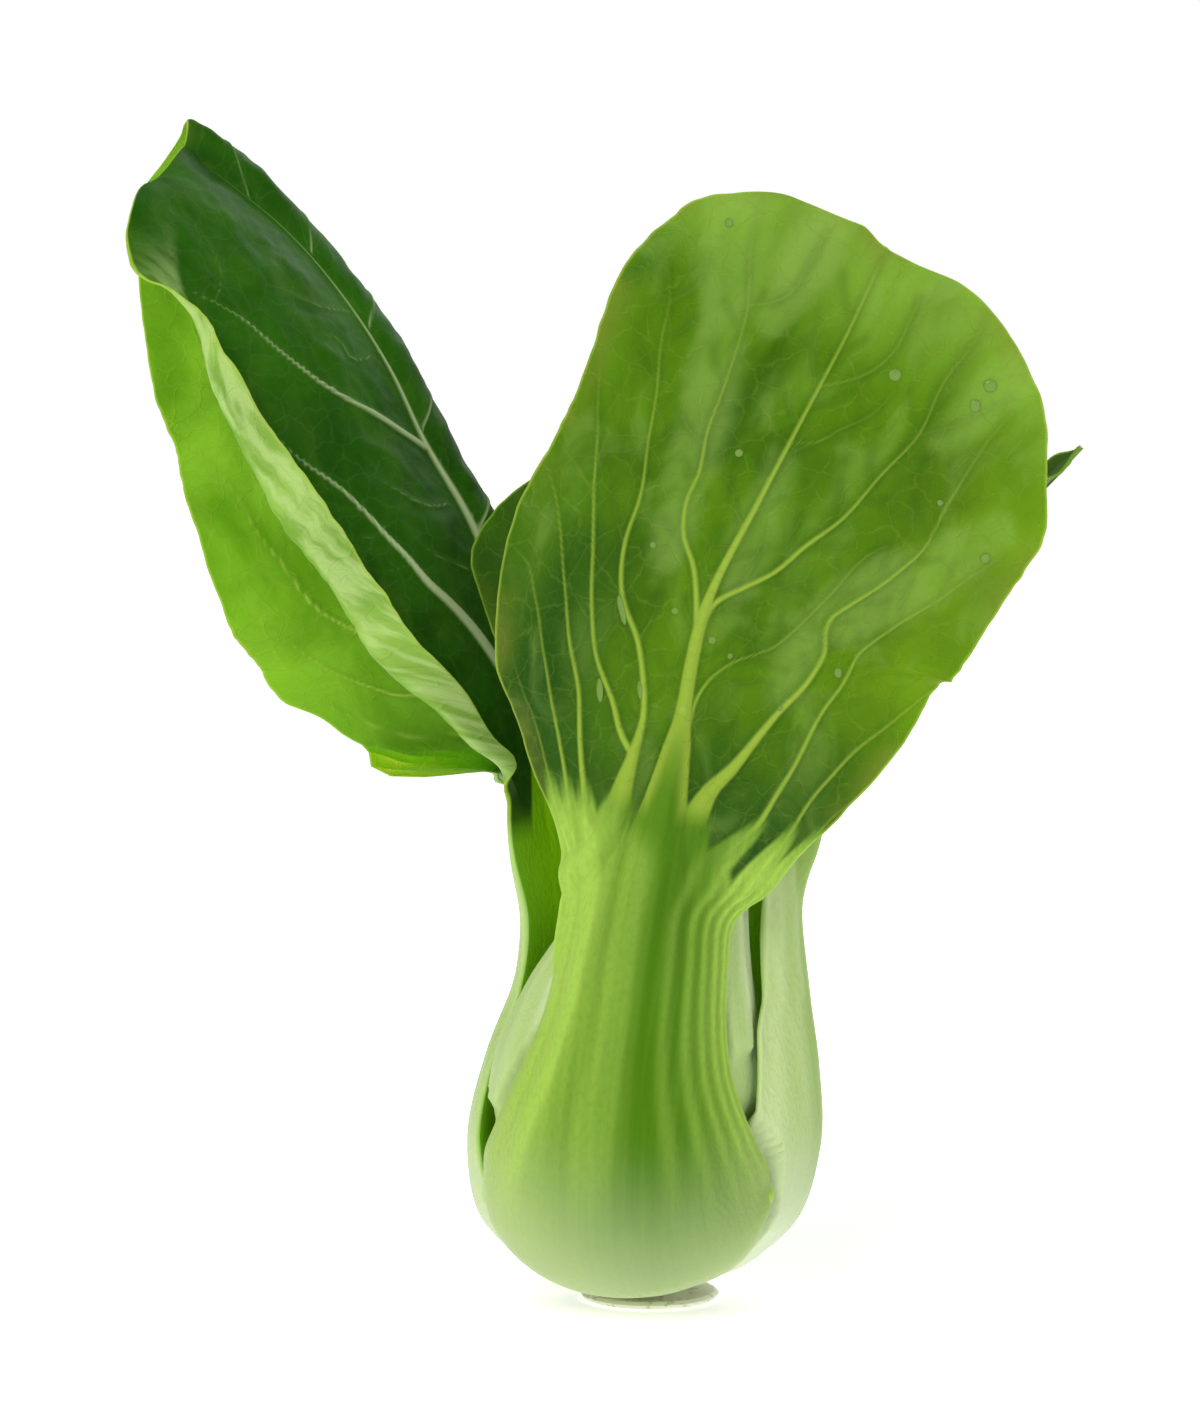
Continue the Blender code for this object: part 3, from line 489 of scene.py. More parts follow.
def veinField(along, side, veins):
    # the ridge that the veins raise here, and how far away the nearest one is
    farAway, margin = 40.0, 12.0
    place = np.stack([along.ravel(), side.ravel()], axis=-1)
    ridge, near = np.zeros(len(place)), np.full(len(place), farAway)
    for line in veins:
        path, half, lift = line["path"], line["half"], line["lift"]
        low, high = path.min(axis=0) - margin, path.max(axis=0) + margin
        inside = np.nonzero(((place > low) & (place < high)).all(axis=1))[0]
        spot = place[inside]
        best = np.full(len(inside), 1e9)
        bestHalf, bestLift = np.ones(len(inside)), np.ones(len(inside))
        for k in range(len(path) - 1):
            step = path[k + 1] - path[k]
            t = np.clip(((spot - path[k]) @ step) / max(step @ step, 1e-9), 0.0, 1.0)
            away = np.linalg.norm(spot - path[k] - t[:, None] * step, axis=1)
            closer = away < best
            best = np.where(closer, away, best)
            bestHalf = np.where(closer, half[k] + t * (half[k + 1] - half[k]), bestHalf)
            bestLift = np.where(closer, lift[k] + t * (lift[k + 1] - lift[k]), bestLift)
        # thin veins are low mounds, thick ribs rounder and steeper
        thick = ease(0.9, 2.4, bestHalf)
        x = best / np.maximum((1.3 - 0.1 * thick) * bestHalf, 0.6)
        mound = bestLift * np.clip(1 - x * x, 0.0, 1.0) ** (2.0 - 1.05 * thick)
        ridge[inside] = np.maximum(ridge[inside], mound)
        near[inside] = np.minimum(near[inside], np.maximum(best - bestHalf, 0.0))
    return ridge.reshape(along.shape), near.reshape(along.shape)


def vein(points, halves, rise, fadeIn=0.0):
    # a vein through flat places, with its half width at each of them. Thin ones are drawn finer
    leastHalf, stride = 0.12, 2.0
    table = np.column_stack([np.array(points, float), halves])
    count = max(4, int(np.linalg.norm(np.diff(table[:, :2], axis=0), axis=1).sum() / stride))
    path, length = smoothCurve(table, count)
    half = np.maximum(path[:, 2], leastHalf)
    half = half * (0.66 + 0.34 * ease(1.2, 2.4, half))
    travel = np.linspace(0.0, length, count)
    lift = rise * half**0.9 * (ease(0.0, fadeIn, travel) if fadeIn else 1.0)
    return dict(path=path[:, :2], half=half, lift=lift)


def drawnVeins(leaf):
    # veins of the two big leaves, at the places where the photo shows them
    spec = leaf.spec
    scale = spec["veinScale"]
    made = [vein([(a, 0.0) for a, _ in spec["midrib"]], [h * scale for _, h in spec["midrib"]],
                 spec["midribRise"], 30.0)]
    for side, name in ((-1, "leftVeins"), (1, "rightVeins")):
        for path in spec[name]:
            flat, halves = leaf.unrolled(path, side, 0.5), [p[2] * scale for p in path]
            if name in spec["joined"]:
                flat = [(flat[0][0] - 0.6 * flat[0][1], 0.0)] + flat
                halves = [1.2 * halves[0]] + halves
            made.append(vein([(a, side * o) for a, o in flat], halves, 0.8,
                             16.0 if path[0][2] > 2 else 0.0))
    if "hiddenRows" in spec:
        made += sideVeins(leaf, -1, spec["hiddenRows"], np.random.RandomState(spec["seed"]))
    return made


def twigs(veins, spacing, seed, start):
    # small veins that leave a bigger one by turns and bend with it
    chance = np.random.RandomState(seed + 7)
    made = []
    for parent in veins:
        path, half = parent["path"], parent["half"]
        travel = running(np.linalg.norm(np.diff(path, axis=0), axis=1))
        at, turn = 6.0 + chance.uniform(0, spacing), 1
        while at < travel[-1] - 3.0:
            k = min(int(np.searchsorted(travel, at)), len(path) - 2)
            ahead = unit(path[k + 1] - path[k])
            if 0.3 < half[k] < 2.2 and path[k][0] > start:
                reach = chance.uniform(5.0, 10.0) * min(1.0, 0.5 + half[k])
                lean = math.radians(chance.uniform(42, 62)) * turn
                first = ahead * math.cos(lean) + np.array([-ahead[1], ahead[0]]) * math.sin(lean)
                last = unit(first + 0.5 * ahead)
                places = [path[k], path[k] + 0.5 * reach * first,
                          path[k] + 0.5 * reach * (first + last)]
                size = min(0.34, 0.6 * half[k])
                made.append(vein(places, size * np.array([1.0, 0.8, 0.4]), 0.8))
            at += spacing * chance.uniform(0.7, 1.3)
            turn = -turn
    return made


def sideVeins(leaf, side, rows, chance):
    # veins by rule: they leave the midrib, sweep up to the rim and fork before it
    made = []
    edgeAlong, edgeOut, foot = leaf.sides[side]
    reach = 0.45 * (leaf.length - leaf.stalk) / len(rows)
    for row in rows:
        at = float(leaf.bladeFeet(np.clip(row + chance.uniform(-0.02, 0.02), 0.0, 0.97)))
        reachAlong, reachOut = np.interp(at, foot, edgeAlong), np.interp(at, foot, edgeOut)
        shares = np.linspace(0.02, 0.93, 7)
        sway = chance.uniform(-1.2, 1.2) * np.sin(shares * math.pi * chance.uniform(1.2, 2.4))
        alongs = at + (reachAlong - at) * (1 - (1 - shares) ** 1.5) + sway
        outs = reachOut * shares
        size = (1.15 - 0.6 * row) * min(reachOut / 22.0, 1.2)
        made.append(vein(list(zip(alongs, side * outs)), size * (1 - 0.78 * shares), 0.8))
        for forkAt, lean in ((chance.uniform(0.4, 0.55), 1), (chance.uniform(0.55, 0.72), -1)):
            a0, o0 = np.interp(forkAt, shares, alongs), np.interp(forkAt, shares, outs)
            path = [(a0, o0), (a0 + lean * 0.45 * reach + 1.5, o0 + 0.10 * reachOut),
                    (a0 + lean * 0.95 * reach + 2.5, min(o0 + 0.22 * reachOut, 0.93 * reachOut))]
            made.append(vein([(a, side * o) for a, o in path], size * np.array([0.42, 0.3, 0.16]), 0.8))
    return made


def grownVeins(leaf):
    spec = leaf.spec
    chance = np.random.RandomState(spec["seed"])
    midrib = [(at, half * 0.42) for at, half in spec["ribHalf"]]
    made = [vein([(a, 0.0) for a, _ in midrib], [h for _, h in midrib], 1.0, 20.0)]
    for side, first in ((-1, 0.45), (1, 0.05)):
        made += sideVeins(leaf, side, (np.arange(spec["veinCount"]) + first) / spec["veinCount"], chance)
    return made


def mark(mesh, name, values):
    # a number or a vector for each point of the mesh
    values = np.asarray(values, np.float32)
    kind, field = ("FLOAT_VECTOR", "vector") if values.ndim == 2 else ("FLOAT", "value")
    mesh.attributes.new(name, kind, "POINT").data.foreach_set(field, values.ravel())


def leafMesh(leaf, veins):
    spec = leaf.spec
    stalkRows, bladeRows, halfColumns, coarse = spec["grid"]
    stalkFeet = leaf.stalk * np.linspace(0.0, 1.0, stalkRows, endpoint=False) ** 1.2
    bladeFeet = leaf.bladeFeet(np.arange(0, bladeRows) / bladeRows)
    feet = np.concatenate([stalkFeet, bladeFeet])
    half = np.linspace(0.0, 1.0, halfColumns + 1)
    columns = np.concatenate([-half[:0:-1], half])
    inner, outer, marks = leaf.fineFaces(feet, columns, veins)
    tipInner, tipOuter, tipMarks = leaf.fineFaces([leaf.length], [0.0], veins)
    thin = (slice(None, None, coarse), slice(None, None, coarse))
    innerThin = inner[thin]
    rows, width = outer.shape[:2]
    rowsIn, widthIn = innerThin.shape[:2]

    points = np.concatenate([outer.reshape(-1, 3), innerThin.reshape(-1, 3), tipOuter.reshape(1, 3),
                             tipInner.reshape(1, 3)]) * mm
    outerAt = np.arange(rows * width).reshape(rows, width)
    innerAt = rows * width + np.arange(rowsIn * widthIn).reshape(rowsIn, widthIn)
    outerTip, innerTip = len(points) - 2, len(points) - 1

    def quads(at, flip):
        corners = [at[:-1, :-1], at[:-1, 1:], at[1:, 1:], at[1:, :-1]]
        if flip:
            corners = corners[::-1]
        return np.stack(corners, axis=-1).reshape(-1, 4).tolist()

    faces = quads(outerAt, False) + quads(innerAt, True)
    last, lastIn = outerAt[-1], innerAt[-1]
    faces += [[last[j], last[j + 1], outerTip] for j in range(width - 1)]
    faces += [[lastIn[j + 1], lastIn[j], innerTip] for j in range(widthIn - 1)]

    def strip(outerLine, innerLine, flip):
        for k in range(len(innerLine) - 1):
            fan = list(outerLine[k * coarse:(k + 1) * coarse + 1]) + [innerLine[k + 1], innerLine[k]]
            faces.append(fan[::-1] if flip else fan)

    strip(outerAt[:, 0], innerAt[:, 0], False)
    strip(outerAt[:, -1], innerAt[:, -1], True)
    strip(outerAt[0], innerAt[0], True)
    faces.append([last[0], outerTip, innerTip, lastIn[0]])
    faces.append([outerTip, last[-1], lastIn[-1], innerTip])

    mesh = bpy.data.meshes.new(spec["name"] + "_grown")
    mesh.from_pydata(points.tolist(), [], [[int(v) for v in face] for face in faces])
    for name, values in marks.items():
        parts = (values, values[thin], tipMarks[name], tipMarks[name])
        mark(mesh, name, np.concatenate([part.reshape((-1,) + values.shape[2:]) for part in parts]))
    upper = np.zeros(len(points))
    upper[rows * width:rows * width + rowsIn * widthIn] = 1.0
    upper[innerTip] = 1.0
    mark(mesh, "upper", upper)
    mesh.shade_smooth()
    return mesh


# ---- the leaves
# spine is the middle line. stalkHalf, left and right are half widths by length, leftSeen and rightSeen
# the rim as places on the sheet. bend is the slope at the midrib, the curl in degrees and how far out
# it goes. turn swings the blade round its midrib, and sweep leans its rows towards the rim. ruffle is
# height, waves and offset. A nudge moves one side, between two lengths and two widths. A vein is x, z
# and half width. grid is stalk rows, blade rows, columns a half and how much coarser the inner face is.

frontLeaf = dict(
    name="leaf_front", slot="outer_leaf", azimuth=-7, seed=3, grid=(72, 237, 112, 2),
    spine=stalkPath(-11, outerStalk[:2]) + [(-6, -24.6, 18.2), (-6.4, -28, 31), (-5.4, -27.4, 46),
          (-3.4, -25.2, 61), (-1.4, -24.2, 76)] + placed([(1.6, -24.6, 92), (5.6, -27, 112),
          (11.4, -31, 140), (22, -36, 161), (31, -39.5, 178), (40, -41.5, 195), (47.4, -42, 211)]),
    stalkLength=92, wrap=0.78,
    stalkHalf=[(0, 9), (5, 15.5), (10, 21.5), (16, 27), (22, 30), (30, 31), (40, 27.5), (50, 22.5),
               (62, 18.6), (74, 17.2), (84, 17.2)],
    leftSeen=[(-18.2, 94), (-24.6, 108), (-29, 122), (-31, 138), (-27.4, 158), (-20, 171), (-14.6, 183),
              (-9.4, 198), (-2, 211), (8, 219.5), (19, 221.5), (31, 220), (41, 215), (47.4, 211)],
    rightSeen=[(24, 83), (30.6, 90.4), (40, 100.5), (51, 112.6), (62, 128), (72, 141), (78.6, 156),
               (79.6, 168), (77.6, 182), (72, 194), (62, 204), (54, 209), (47.4, 211)],
    flesh=[(0, 4.4), (6, 5.2), (13, 7.8), (22, 8), (40, 7.2), (70, 6.4), (96, 4.6), (120, 2.6),
           (160, 1.3), (226, 0.3)],
    ribHalf=[(84, 15), (104, 11), (124, 6), (150, 3.4), (190, 2.2), (226, 1.2)], fan=(68, 99),
    bendLeft=(5, 13, 48), bendRight=(3, 11, 58), turn=[(80, 0), (150, 4), (226, 6)],
    edgeFrom=78, sweep=1.15, ruffle=(1.6, 5, 0.4),
    nudges=[(1, (2, 8), (14, 34), (8, 20), (2.8, -0.4, 0)), (-1, (208, 220), (400, 401), (0, 6),
            (0.9, 0, 2.2)), (-1, (208, 220), (400, 401), (20, 32), (-0.9, 0, -2.2))],
    fold=1.1,
    sheens=[[(17, 219, 4), (16.4, 206, 3.4), (14.4, 192, 2.4), (11, 176, 2.2), (7, 162, 2),
             (3, 150, 0.8)],
            [(34, 214, 2), (30, 206, 2.4), (24, 196, 1)], [(27, 168, 0.6), (22, 156, 2.2),
                                                           (18, 145, 1.6)],
            [(68, 154, 2), (56, 146, 4), (44, 141, 4.6), (34, 134, 2.4), (26, 122, 1)],
            [(76, 188, 1.4), (68, 182, 2.4), (58, 172, 0.8)]],
    webShift=-5.0, quilt=1.5, rings=[(8.8, 130.8), (7.4, 119.2), (16.2, 106.8), (18, 110.2)], band=0.2,
    stalkRibs=[(-0.86, 0.06, 0.5), (-0.62, 0.09, 0.7), (-0.12, 0.16, 0.6), (0.3, 0.07, 0.35),
               (0.5, 0.06, 0.4), (0.66, 0.045, 0.4), (0.8, 0.04, 0.4), (0.92, 0.03, 0.35)],
    midrib=[(58, 6), (76, 6), (86, 5.6), (96.5, 4.8), (111, 3.0), (122, 1.9), (133, 1.7), (142, 1.6),
            (152, 1.3), (164, 1.0), (175, 0.85), (185, 0.75), (199, 0.6), (210, 0.45), (219, 0.25)],
    midribRise=0.95,
    leftVeins=[
        [(11.6, 135.6, 1.3), (9.8, 141, 1.2), (8.5, 147, 1.1), (7, 154, 1), (7.5, 160.5, 0.9),
         (10, 166, 0.85), (11.5, 174, 0.75), (15.5, 184.5, 0.6), (19.5, 199, 0.5), (20.5, 210, 0.4),
         (22.5, 219, 0.25)],
        [(19.5, 199, 0.45), (27.5, 201, 0.4), (31.5, 206.5, 0.35), (34.5, 212.5, 0.25)],
        [(-16.8, 68.6, 2.2), (-15.2, 75.4, 2.6), (-12.8, 82.8, 2.8), (-10, 91.4, 2.6),
         (-6.6, 98.4, 2.3), (-4.8, 104, 2), (-3.2, 109.8, 1.7), (-1.2, 118.4, 1.3), (-1.2, 126.4, 1.2),
         (-2.2, 132.6, 1.15), (-5.4, 142, 1.05), (-5.6, 148, 1), (-4.6, 153.2, 0.95), (-2, 160.6, 0.85),
         (-0.6, 171.2, 0.7), (1.4, 182, 0.6), (2.6, 192.6, 0.5), (4, 200.2, 0.4), (3.4, 209.2, 0.25)],
        [(4, 200.2, 0.35), (8, 202, 0.3), (12, 210, 0.2)],
        [(-3.2, 109.8, 1.4), (-5.4, 113.8, 1.3), (-7.6, 120.6, 1.15), (-10.4, 129.6, 1),
         (-11.4, 140.6, 0.9), (-11.4, 148, 0.85), (-11, 164.6, 0.7), (-10.4, 178, 0.5),
         (-10.2, 189.2, 0.3)],
        [(-11.2, 160, 0.4), (-13.5, 167, 0.35), (-17, 172, 0.25), (-20, 178, 0.2)],
        [(-11.8, 84, 1.6), (-11.8, 92.6, 1.5), (-12.8, 100.6, 1.4), (-13.6, 108.6, 1.2),
         (-14, 115.4, 1.1), (-14.4, 122.6, 1), (-16, 132.6, 0.85), (-16.8, 140.6, 0.75),
         (-18.6, 161.2, 0.5), (-20.6, 169.2, 0.3)],
        [(-13.6, 88, 1.1), (-16.8, 104.6, 1), (-19, 116.6, 0.85), (-21, 128.6, 0.7),
         (-22.6, 140.6, 0.55), (-25, 147.6, 0.45), (-27.4, 151, 0.25)],
        [(-15, 90, 0.9), (-18.8, 100.6, 0.7), (-22, 112.6, 0.55), (-24.6, 122.6, 0.4),
         (-27, 130.6, 0.25)],
    ],
    rightVeins=[
        [(10, 135.6, 1.25), (12.6, 140, 1.2), (18, 143, 1.1), (24.6, 146.6, 1.05), (31, 151.2, 1),
         (38, 156.6, 0.85), (46.6, 166, 0.7), (54, 174, 0.55), (59.4, 185.2, 0.45), (64.6, 192, 0.35),
         (68, 198.6, 0.2)],
        [(54, 174, 0.35), (60, 175, 0.3), (66, 177.6, 0.25), (72, 181, 0.2)],
        [(28, 172, 0.5), (33.4, 172.6, 0.45), (38.6, 175.2, 0.4), (43.4, 177.2, 0.35),
         (49.4, 183.2, 0.25)],
        [(34.6, 183.2, 0.55), (40, 185, 0.5), (45.4, 187.2, 0.45), (49.4, 191.2, 0.4),
         (52, 196.6, 0.35), (54, 201.2, 0.25)],
        [(8, 115.6, 0.9), (9.4, 121.2, 0.85), (11.8, 125.2, 0.75), (15.8, 128, 0.7), (25.4, 132, 0.6),
         (28.6, 134.2, 0.55), (36, 141.6, 0.5), (43.4, 149.6, 0.4), (47.4, 151.6, 0.25)],
        [(6, 86.8, 2.6), (7.2, 92.6, 2.5), (9.4, 98.4, 2.2), (12.2, 102.8, 1.9), (16.2, 106.8, 1.7),
         (19.8, 111.4, 1.5), (24.8, 117.2, 1.3), (31.2, 124, 1.15), (34.6, 129.8, 1.05),
         (36.6, 137.2, 0.95), (40, 140, 0.9), (48, 145.2, 0.8), (54.6, 151.2, 0.7), (58.6, 158.6, 0.6),
         (62.6, 164.6, 0.5), (67.4, 172.6, 0.4), (72.6, 178.6, 0.25)],
        [(11.8, 82.6, 1.7), (12.4, 86.8, 1.6), (16.2, 91.4, 1.4), (20.8, 95.4, 1.25),
         (24.8, 101.6, 1.1), (28.8, 107.4, 1), (34.6, 118.4, 0.9), (38, 122.6, 0.85),
         (42.6, 130.6, 0.75), (49.4, 136, 0.65), (59.4, 142, 0.5), (70, 150, 0.3)],
        [(17, 78.6, 1.2), (19.8, 84.6, 1.1), (26.6, 92.6, 0.95), (32.2, 101.8, 0.85),
         (40.2, 109.8, 0.75), (47.2, 115.4, 0.65), (55.2, 121.2, 0.5), (62, 124.6, 0.3)],
        [(20, 77.6, 0.9), (25, 84.6, 0.8), (30, 90.6, 0.7), (37, 98.6, 0.5), (46, 105.6, 0.35),
         (54, 111.6, 0.2)],
    ],
)

leftLeaf = dict(
    name="leaf_left", slot="outer_leaf", azimuth=-136, seed=11, grid=(50, 220, 84, 1),
    spine=stalkPath(-136, [(9.4, 7.8), (18.4, 10.8), (26.8, 18.2), (30.6, 31), (29.4, 46), (25.4, 61)])
          + [(-17.2, 16.6, 76)] + placed([(-20, 16, 92), (-22.4, 16, 108), (-27.6, 16.6, 132),
          (-36, 18, 155.8), (-45.6, 20, 172.6), (-52, 21, 186.2), (-60, 22.4, 199), (-73.6, 24.6, 215),
          (-84, 26, 223.6), (-93.6, 27, 231)]),
    stalkLength=104, wrap=0.74,
    stalkHalf=[(0, 8.5), (5, 14), (10, 19.5), (21, 27), (34, 29), (50, 22.5), (70, 14.6), (98, 12)],
    leftSeen=[(-31, 101.8), (-46, 105), (-64, 113), (-75, 122.6), (-82, 133), (-90, 151.6),
              (-93, 164.6), (-100, 191), (-101, 206), (-100, 218), (-97.6, 227), (-93.6, 231)],
    rightSeen=[(-28.6, 104), (-33, 110.6), (-42, 122), (-50, 132.4), (-58, 143), (-65, 152.6),
               (-74, 166.6), (-85, 186.2), (-93, 200), (-102, 206.6), (-104.4, 215), (-103, 220.6),
               (-98, 226.6), (-93.6, 231)],
    flesh=[(0, 4.4), (6, 5.4), (13, 8), (22, 8.4), (40, 7.8), (70, 6), (100, 4.2), (130, 2.6),
           (180, 1.4), (262, 0.3)],
    ribHalf=[(92, 13), (112, 8), (135, 4.6), (170, 3), (215, 2), (262, 1.2)],
    bendLeft=(60, -152, 18), bendRight=(-8, -34, 40), turn=[(86, 0), (116, 22), (262, 26)],
    foldOver=(-20, 14), edgeFrom=112, sweep=0.95, ruffle=(1.2, 6, 1.1), roll=(5.5, 150),
    fineRoll=(3.6, 158), flapShift=[(104, 2.3), (122, 5), (142, 7.6), (200, 7.4), (235, 3.4), (250, 2.3)],
    steady=46.0, hiddenRows=[0.46, 0.58, 0.7, 0.8, 0.89],
    fineEdge={1: [(22, 0), (30, 2.6), (46, 2.6), (56, 0), (60, 0)]},
    nudges=[(-1, (219, 256), (400, 401), (0, 7), (-1.2, 0, 4.6)), (-1, (249, 260), (400, 401), (4, 12),
            (-1.4, 0, -0.4)), (-1, (80, 81), (112, 128), (10, 22), (0, 0, -2.8)), (-1, (80, 81),
            (112, 122), (28, 42), (0, 0, 1.8)), (-1, (113.5, 117), (124, 142), (46, 60), (0, 0, 3.4))],
    flap=[(104, 0), (116, 3), (132, 5.6), (165, 6.4), (200, 5), (222, 2.4), (238, 0)],
    innerRise=0.75, veinScale=1.2, joined=["leftVeins"],
    midrib=[(100, 1.6), (125, 1.5), (150, 1.4), (170, 1.3), (190, 1.1), (210, 0.8), (230, 0.55),
            (255, 0.25)],
    midribRise=0.8,
    leftVeins=[
        [(-37.4, 114.4, 0.7), (-46, 113.8, 0.6), (-54.6, 114, 0.5), (-60.2, 114.8, 0.4),
         (-64.8, 118.4, 0.25)],
        [(-42.6, 121.8, 0.8), (-48.8, 121.8, 0.75), (-55.8, 123.4, 0.7), (-61.4, 125.8, 0.6),
         (-67.2, 128.6, 0.5), (-71.8, 132, 0.45), (-75.2, 134.4, 0.35), (-79.2, 135.4, 0.25)],
        [(-54.2, 133.2, 0.85), (-59.2, 134.6, 0.8), (-64.8, 137.8, 0.75), (-68.8, 141.8, 0.7),
         (-72.8, 146.8, 0.65), (-76.8, 152, 0.55), (-80.2, 156.6, 0.5), (-81.4, 160, 0.45),
         (-85.6, 166, 0.35), (-91, 170, 0.25)],
        [(-31.2, 107.4, 0.5), (-40.2, 107.8, 0.45), (-48.8, 107.4, 0.3)],
    ],
    rightVeins=[
        [(-45.4, 171.4, 1.25), (-54.6, 177.2, 1.1), (-62.6, 181.8, 0.95), (-74.6, 190.4, 0.75),
         (-81.4, 196, 0.65), (-87.2, 200, 0.5), (-96.2, 204, 0.3)],
        [(-87.2, 200, 0.4), (-86, 205.2, 0.4), (-87.2, 209.8, 0.35), (-89.4, 213.2, 0.3),
         (-93.8, 218, 0.2)],
        [(-55.8, 188.8, 0.5), (-60.2, 189.4, 0.45), (-62, 192, 0.4), (-66.6, 193.8, 0.25)],
        [(-60.2, 198.4, 0.45), (-67.2, 199.4, 0.4), (-71.8, 201.8, 0.2)],
        [(-30, 126.4, 1.5), (-35.2, 134.4, 1.45), (-40.2, 140.6, 1.35), (-44.2, 144, 1.3),
         (-48.8, 149.2, 1.15), (-52.8, 153.2, 1.05), (-56.2, 157.2, 0.95), (-62.6, 162.8, 0.85),
         (-69.4, 168, 0.7), (-71.8, 169.8, 0.6), (-78.6, 177.2, 0.4)],
        [(-40.2, 159.4, 0.6), (-45.4, 160, 0.55), (-51.2, 162.8, 0.45), (-56.8, 166.4, 0.25)],
        [(-36, 146.8, 0.5), (-41.4, 148.6, 0.45), (-45.4, 151.4, 0.35), (-48.8, 154.8, 0.2)],
        [(-62.6, 162.8, 0.35), (-65, 162, 0.3), (-67.2, 161.8, 0.2)],
        [(-54.6, 153.4, 0.35), (-58, 152.4, 0.3), (-60.8, 152.8, 0.2)],
        [(-48.8, 147.4, 0.35), (-52, 146, 0.3), (-55.2, 145.8, 0.2)],
    ],
)

rightLeaf = dict(
    name="leaf_right", slot="outer_leaf", azimuth=98, seed=23, grid=(50, 120, 48, 1),
    spine=stalkPath(97, outerStalk[:6]) + [(23.4, 1.4, 76), (25.4, 2, 92), (35, 4, 110), (49.5, 7, 130),
          (64, 9.5, 147), (76, 11, 160.5), (87, 12, 171.5)],
    stalkLength=88, wrap=1,
    stalkHalf=[(0, 8.5), (5, 14), (10, 19), (21, 25), (34, 25), (48, 20.5), (66, 15.5), (84, 12.5)],
    left=[(98, 15), (112, 22), (130, 26), (150, 26), (168, 20), (182, 11)],
    right=[(96, 14), (110, 24), (130, 31), (150, 32), (170, 25), (184, 13)],
    flesh=[(0, 3), (12, 2.8), (22, 4), (40, 5.4), (70, 6), (92, 4.8), (115, 2.5), (150, 1.3), (192, 0.3)],
    ribHalf=[(80, 12.5), (100, 8.5), (118, 5), (145, 3), (192, 1.2)],
    bendLeft=(12, 30, 40), bendRight=(0, 10, 44), turn=[(80, 0), (192, 0)],
    sweep=1, ruffle=(1.2, 4, 2), veinCount=6, webShift=8.0,
    fineEdge={-1: [(8, 0), (18, 2.4), (34, 2.6), (58, 2.6), (68, 0), (72, 0)]})

frontLeftLeaf = dict(
    name="leaf_front_left", slot="inner_leaf", azimuth=-74, seed=31, grid=(50, 90, 36, 1),
    spine=stalkPath(-76, [(6.8, 13.4), (13.5, 16.4), (21, 22), (26, 32), (25, 46), (19.6, 61)])
          + [(-11.4, -4.8, 76), (-10.4, -7.2, 92), (-13.2, -9, 110), (-18, -10.4, 130),
             (-21.4, -11.4, 148), (-22.6, -12.4, 165)],
    stalkLength=84, wrap=0.95,
    stalkHalf=[(0, 5.5), (8, 14), (18, 21.5), (30, 23.5), (44, 19.5), (58, 12.5), (72, 8), (88, 7.4)],
    left=[(98, 9.5), (110, 13), (126, 16.5), (142, 17), (156, 12.5)],
    right=[(98, 9.5), (110, 12.5), (126, 15), (142, 15.5), (156, 12)],
    flesh=[(0, 3.4), (20, 5.4), (40, 5.6), (66, 4.4), (88, 2.8), (120, 1.3), (160, 0.3)],
    ribHalf=[(74, 9), (92, 5.6), (112, 3.2), (160, 1)],
    bendLeft=(6, 16, 22), bendRight=(6, 14, 22), turn=[(66, 0), (100, 54), (160, 60)],
    sweep=0.9, ruffle=(0.8, 4, 0.2), veinCount=5,
    fineEdge={-1: [(0, 0), (6, 2.4), (14, 4), (24, 4), (40, 3), (52, 1), (60, 0), (88, 0), (98, -4),
                   (118, -5), (132, -2), (142, 0)]})

backLeaf = dict(
    name="leaf_back", slot="outer_leaf", azimuth=172, seed=41, grid=(50, 130, 52, 1),
    spine=stalkPath(172, middleStalk[:1])
          + stalkPath(172, [(14.5, 14.4), (21.5, 20.5), (25.6, 32), (25.4, 46), (25, 61), (26.4, 76)])
          + [(4.8, 30, 92), (6.4, 36, 110), (9.6, 46, 132), (13.4, 56, 154), (16.6, 65, 174),
             (18.4, 71, 187)],
    stalkLength=90, wrap=1,
    stalkHalf=[(0, 5.5), (8, 15), (20, 24), (34, 25), (48, 20), (66, 14), (84, 11.5)],
    left=[(98, 13), (112, 21), (130, 31), (150, 37), (170, 34), (188, 21)],
    right=[(98, 13), (112, 20), (130, 28), (150, 33), (170, 31), (188, 19)],
    flesh=[(0, 3.4), (20, 5.6), (40, 6), (66, 5.2), (92, 4), (118, 2.3), (150, 1.3), (200, 0.3)],
    ribHalf=[(82, 13), (102, 8.6), (122, 4.8), (150, 2.8), (200, 1.2)],
    bendLeft=(4, 20, 40), bendRight=(4, 18, 40), turn=[(80, 0), (200, 0)],
    sweep=1.05, ruffle=(1.6, 5, 2.6), veinCount=6)

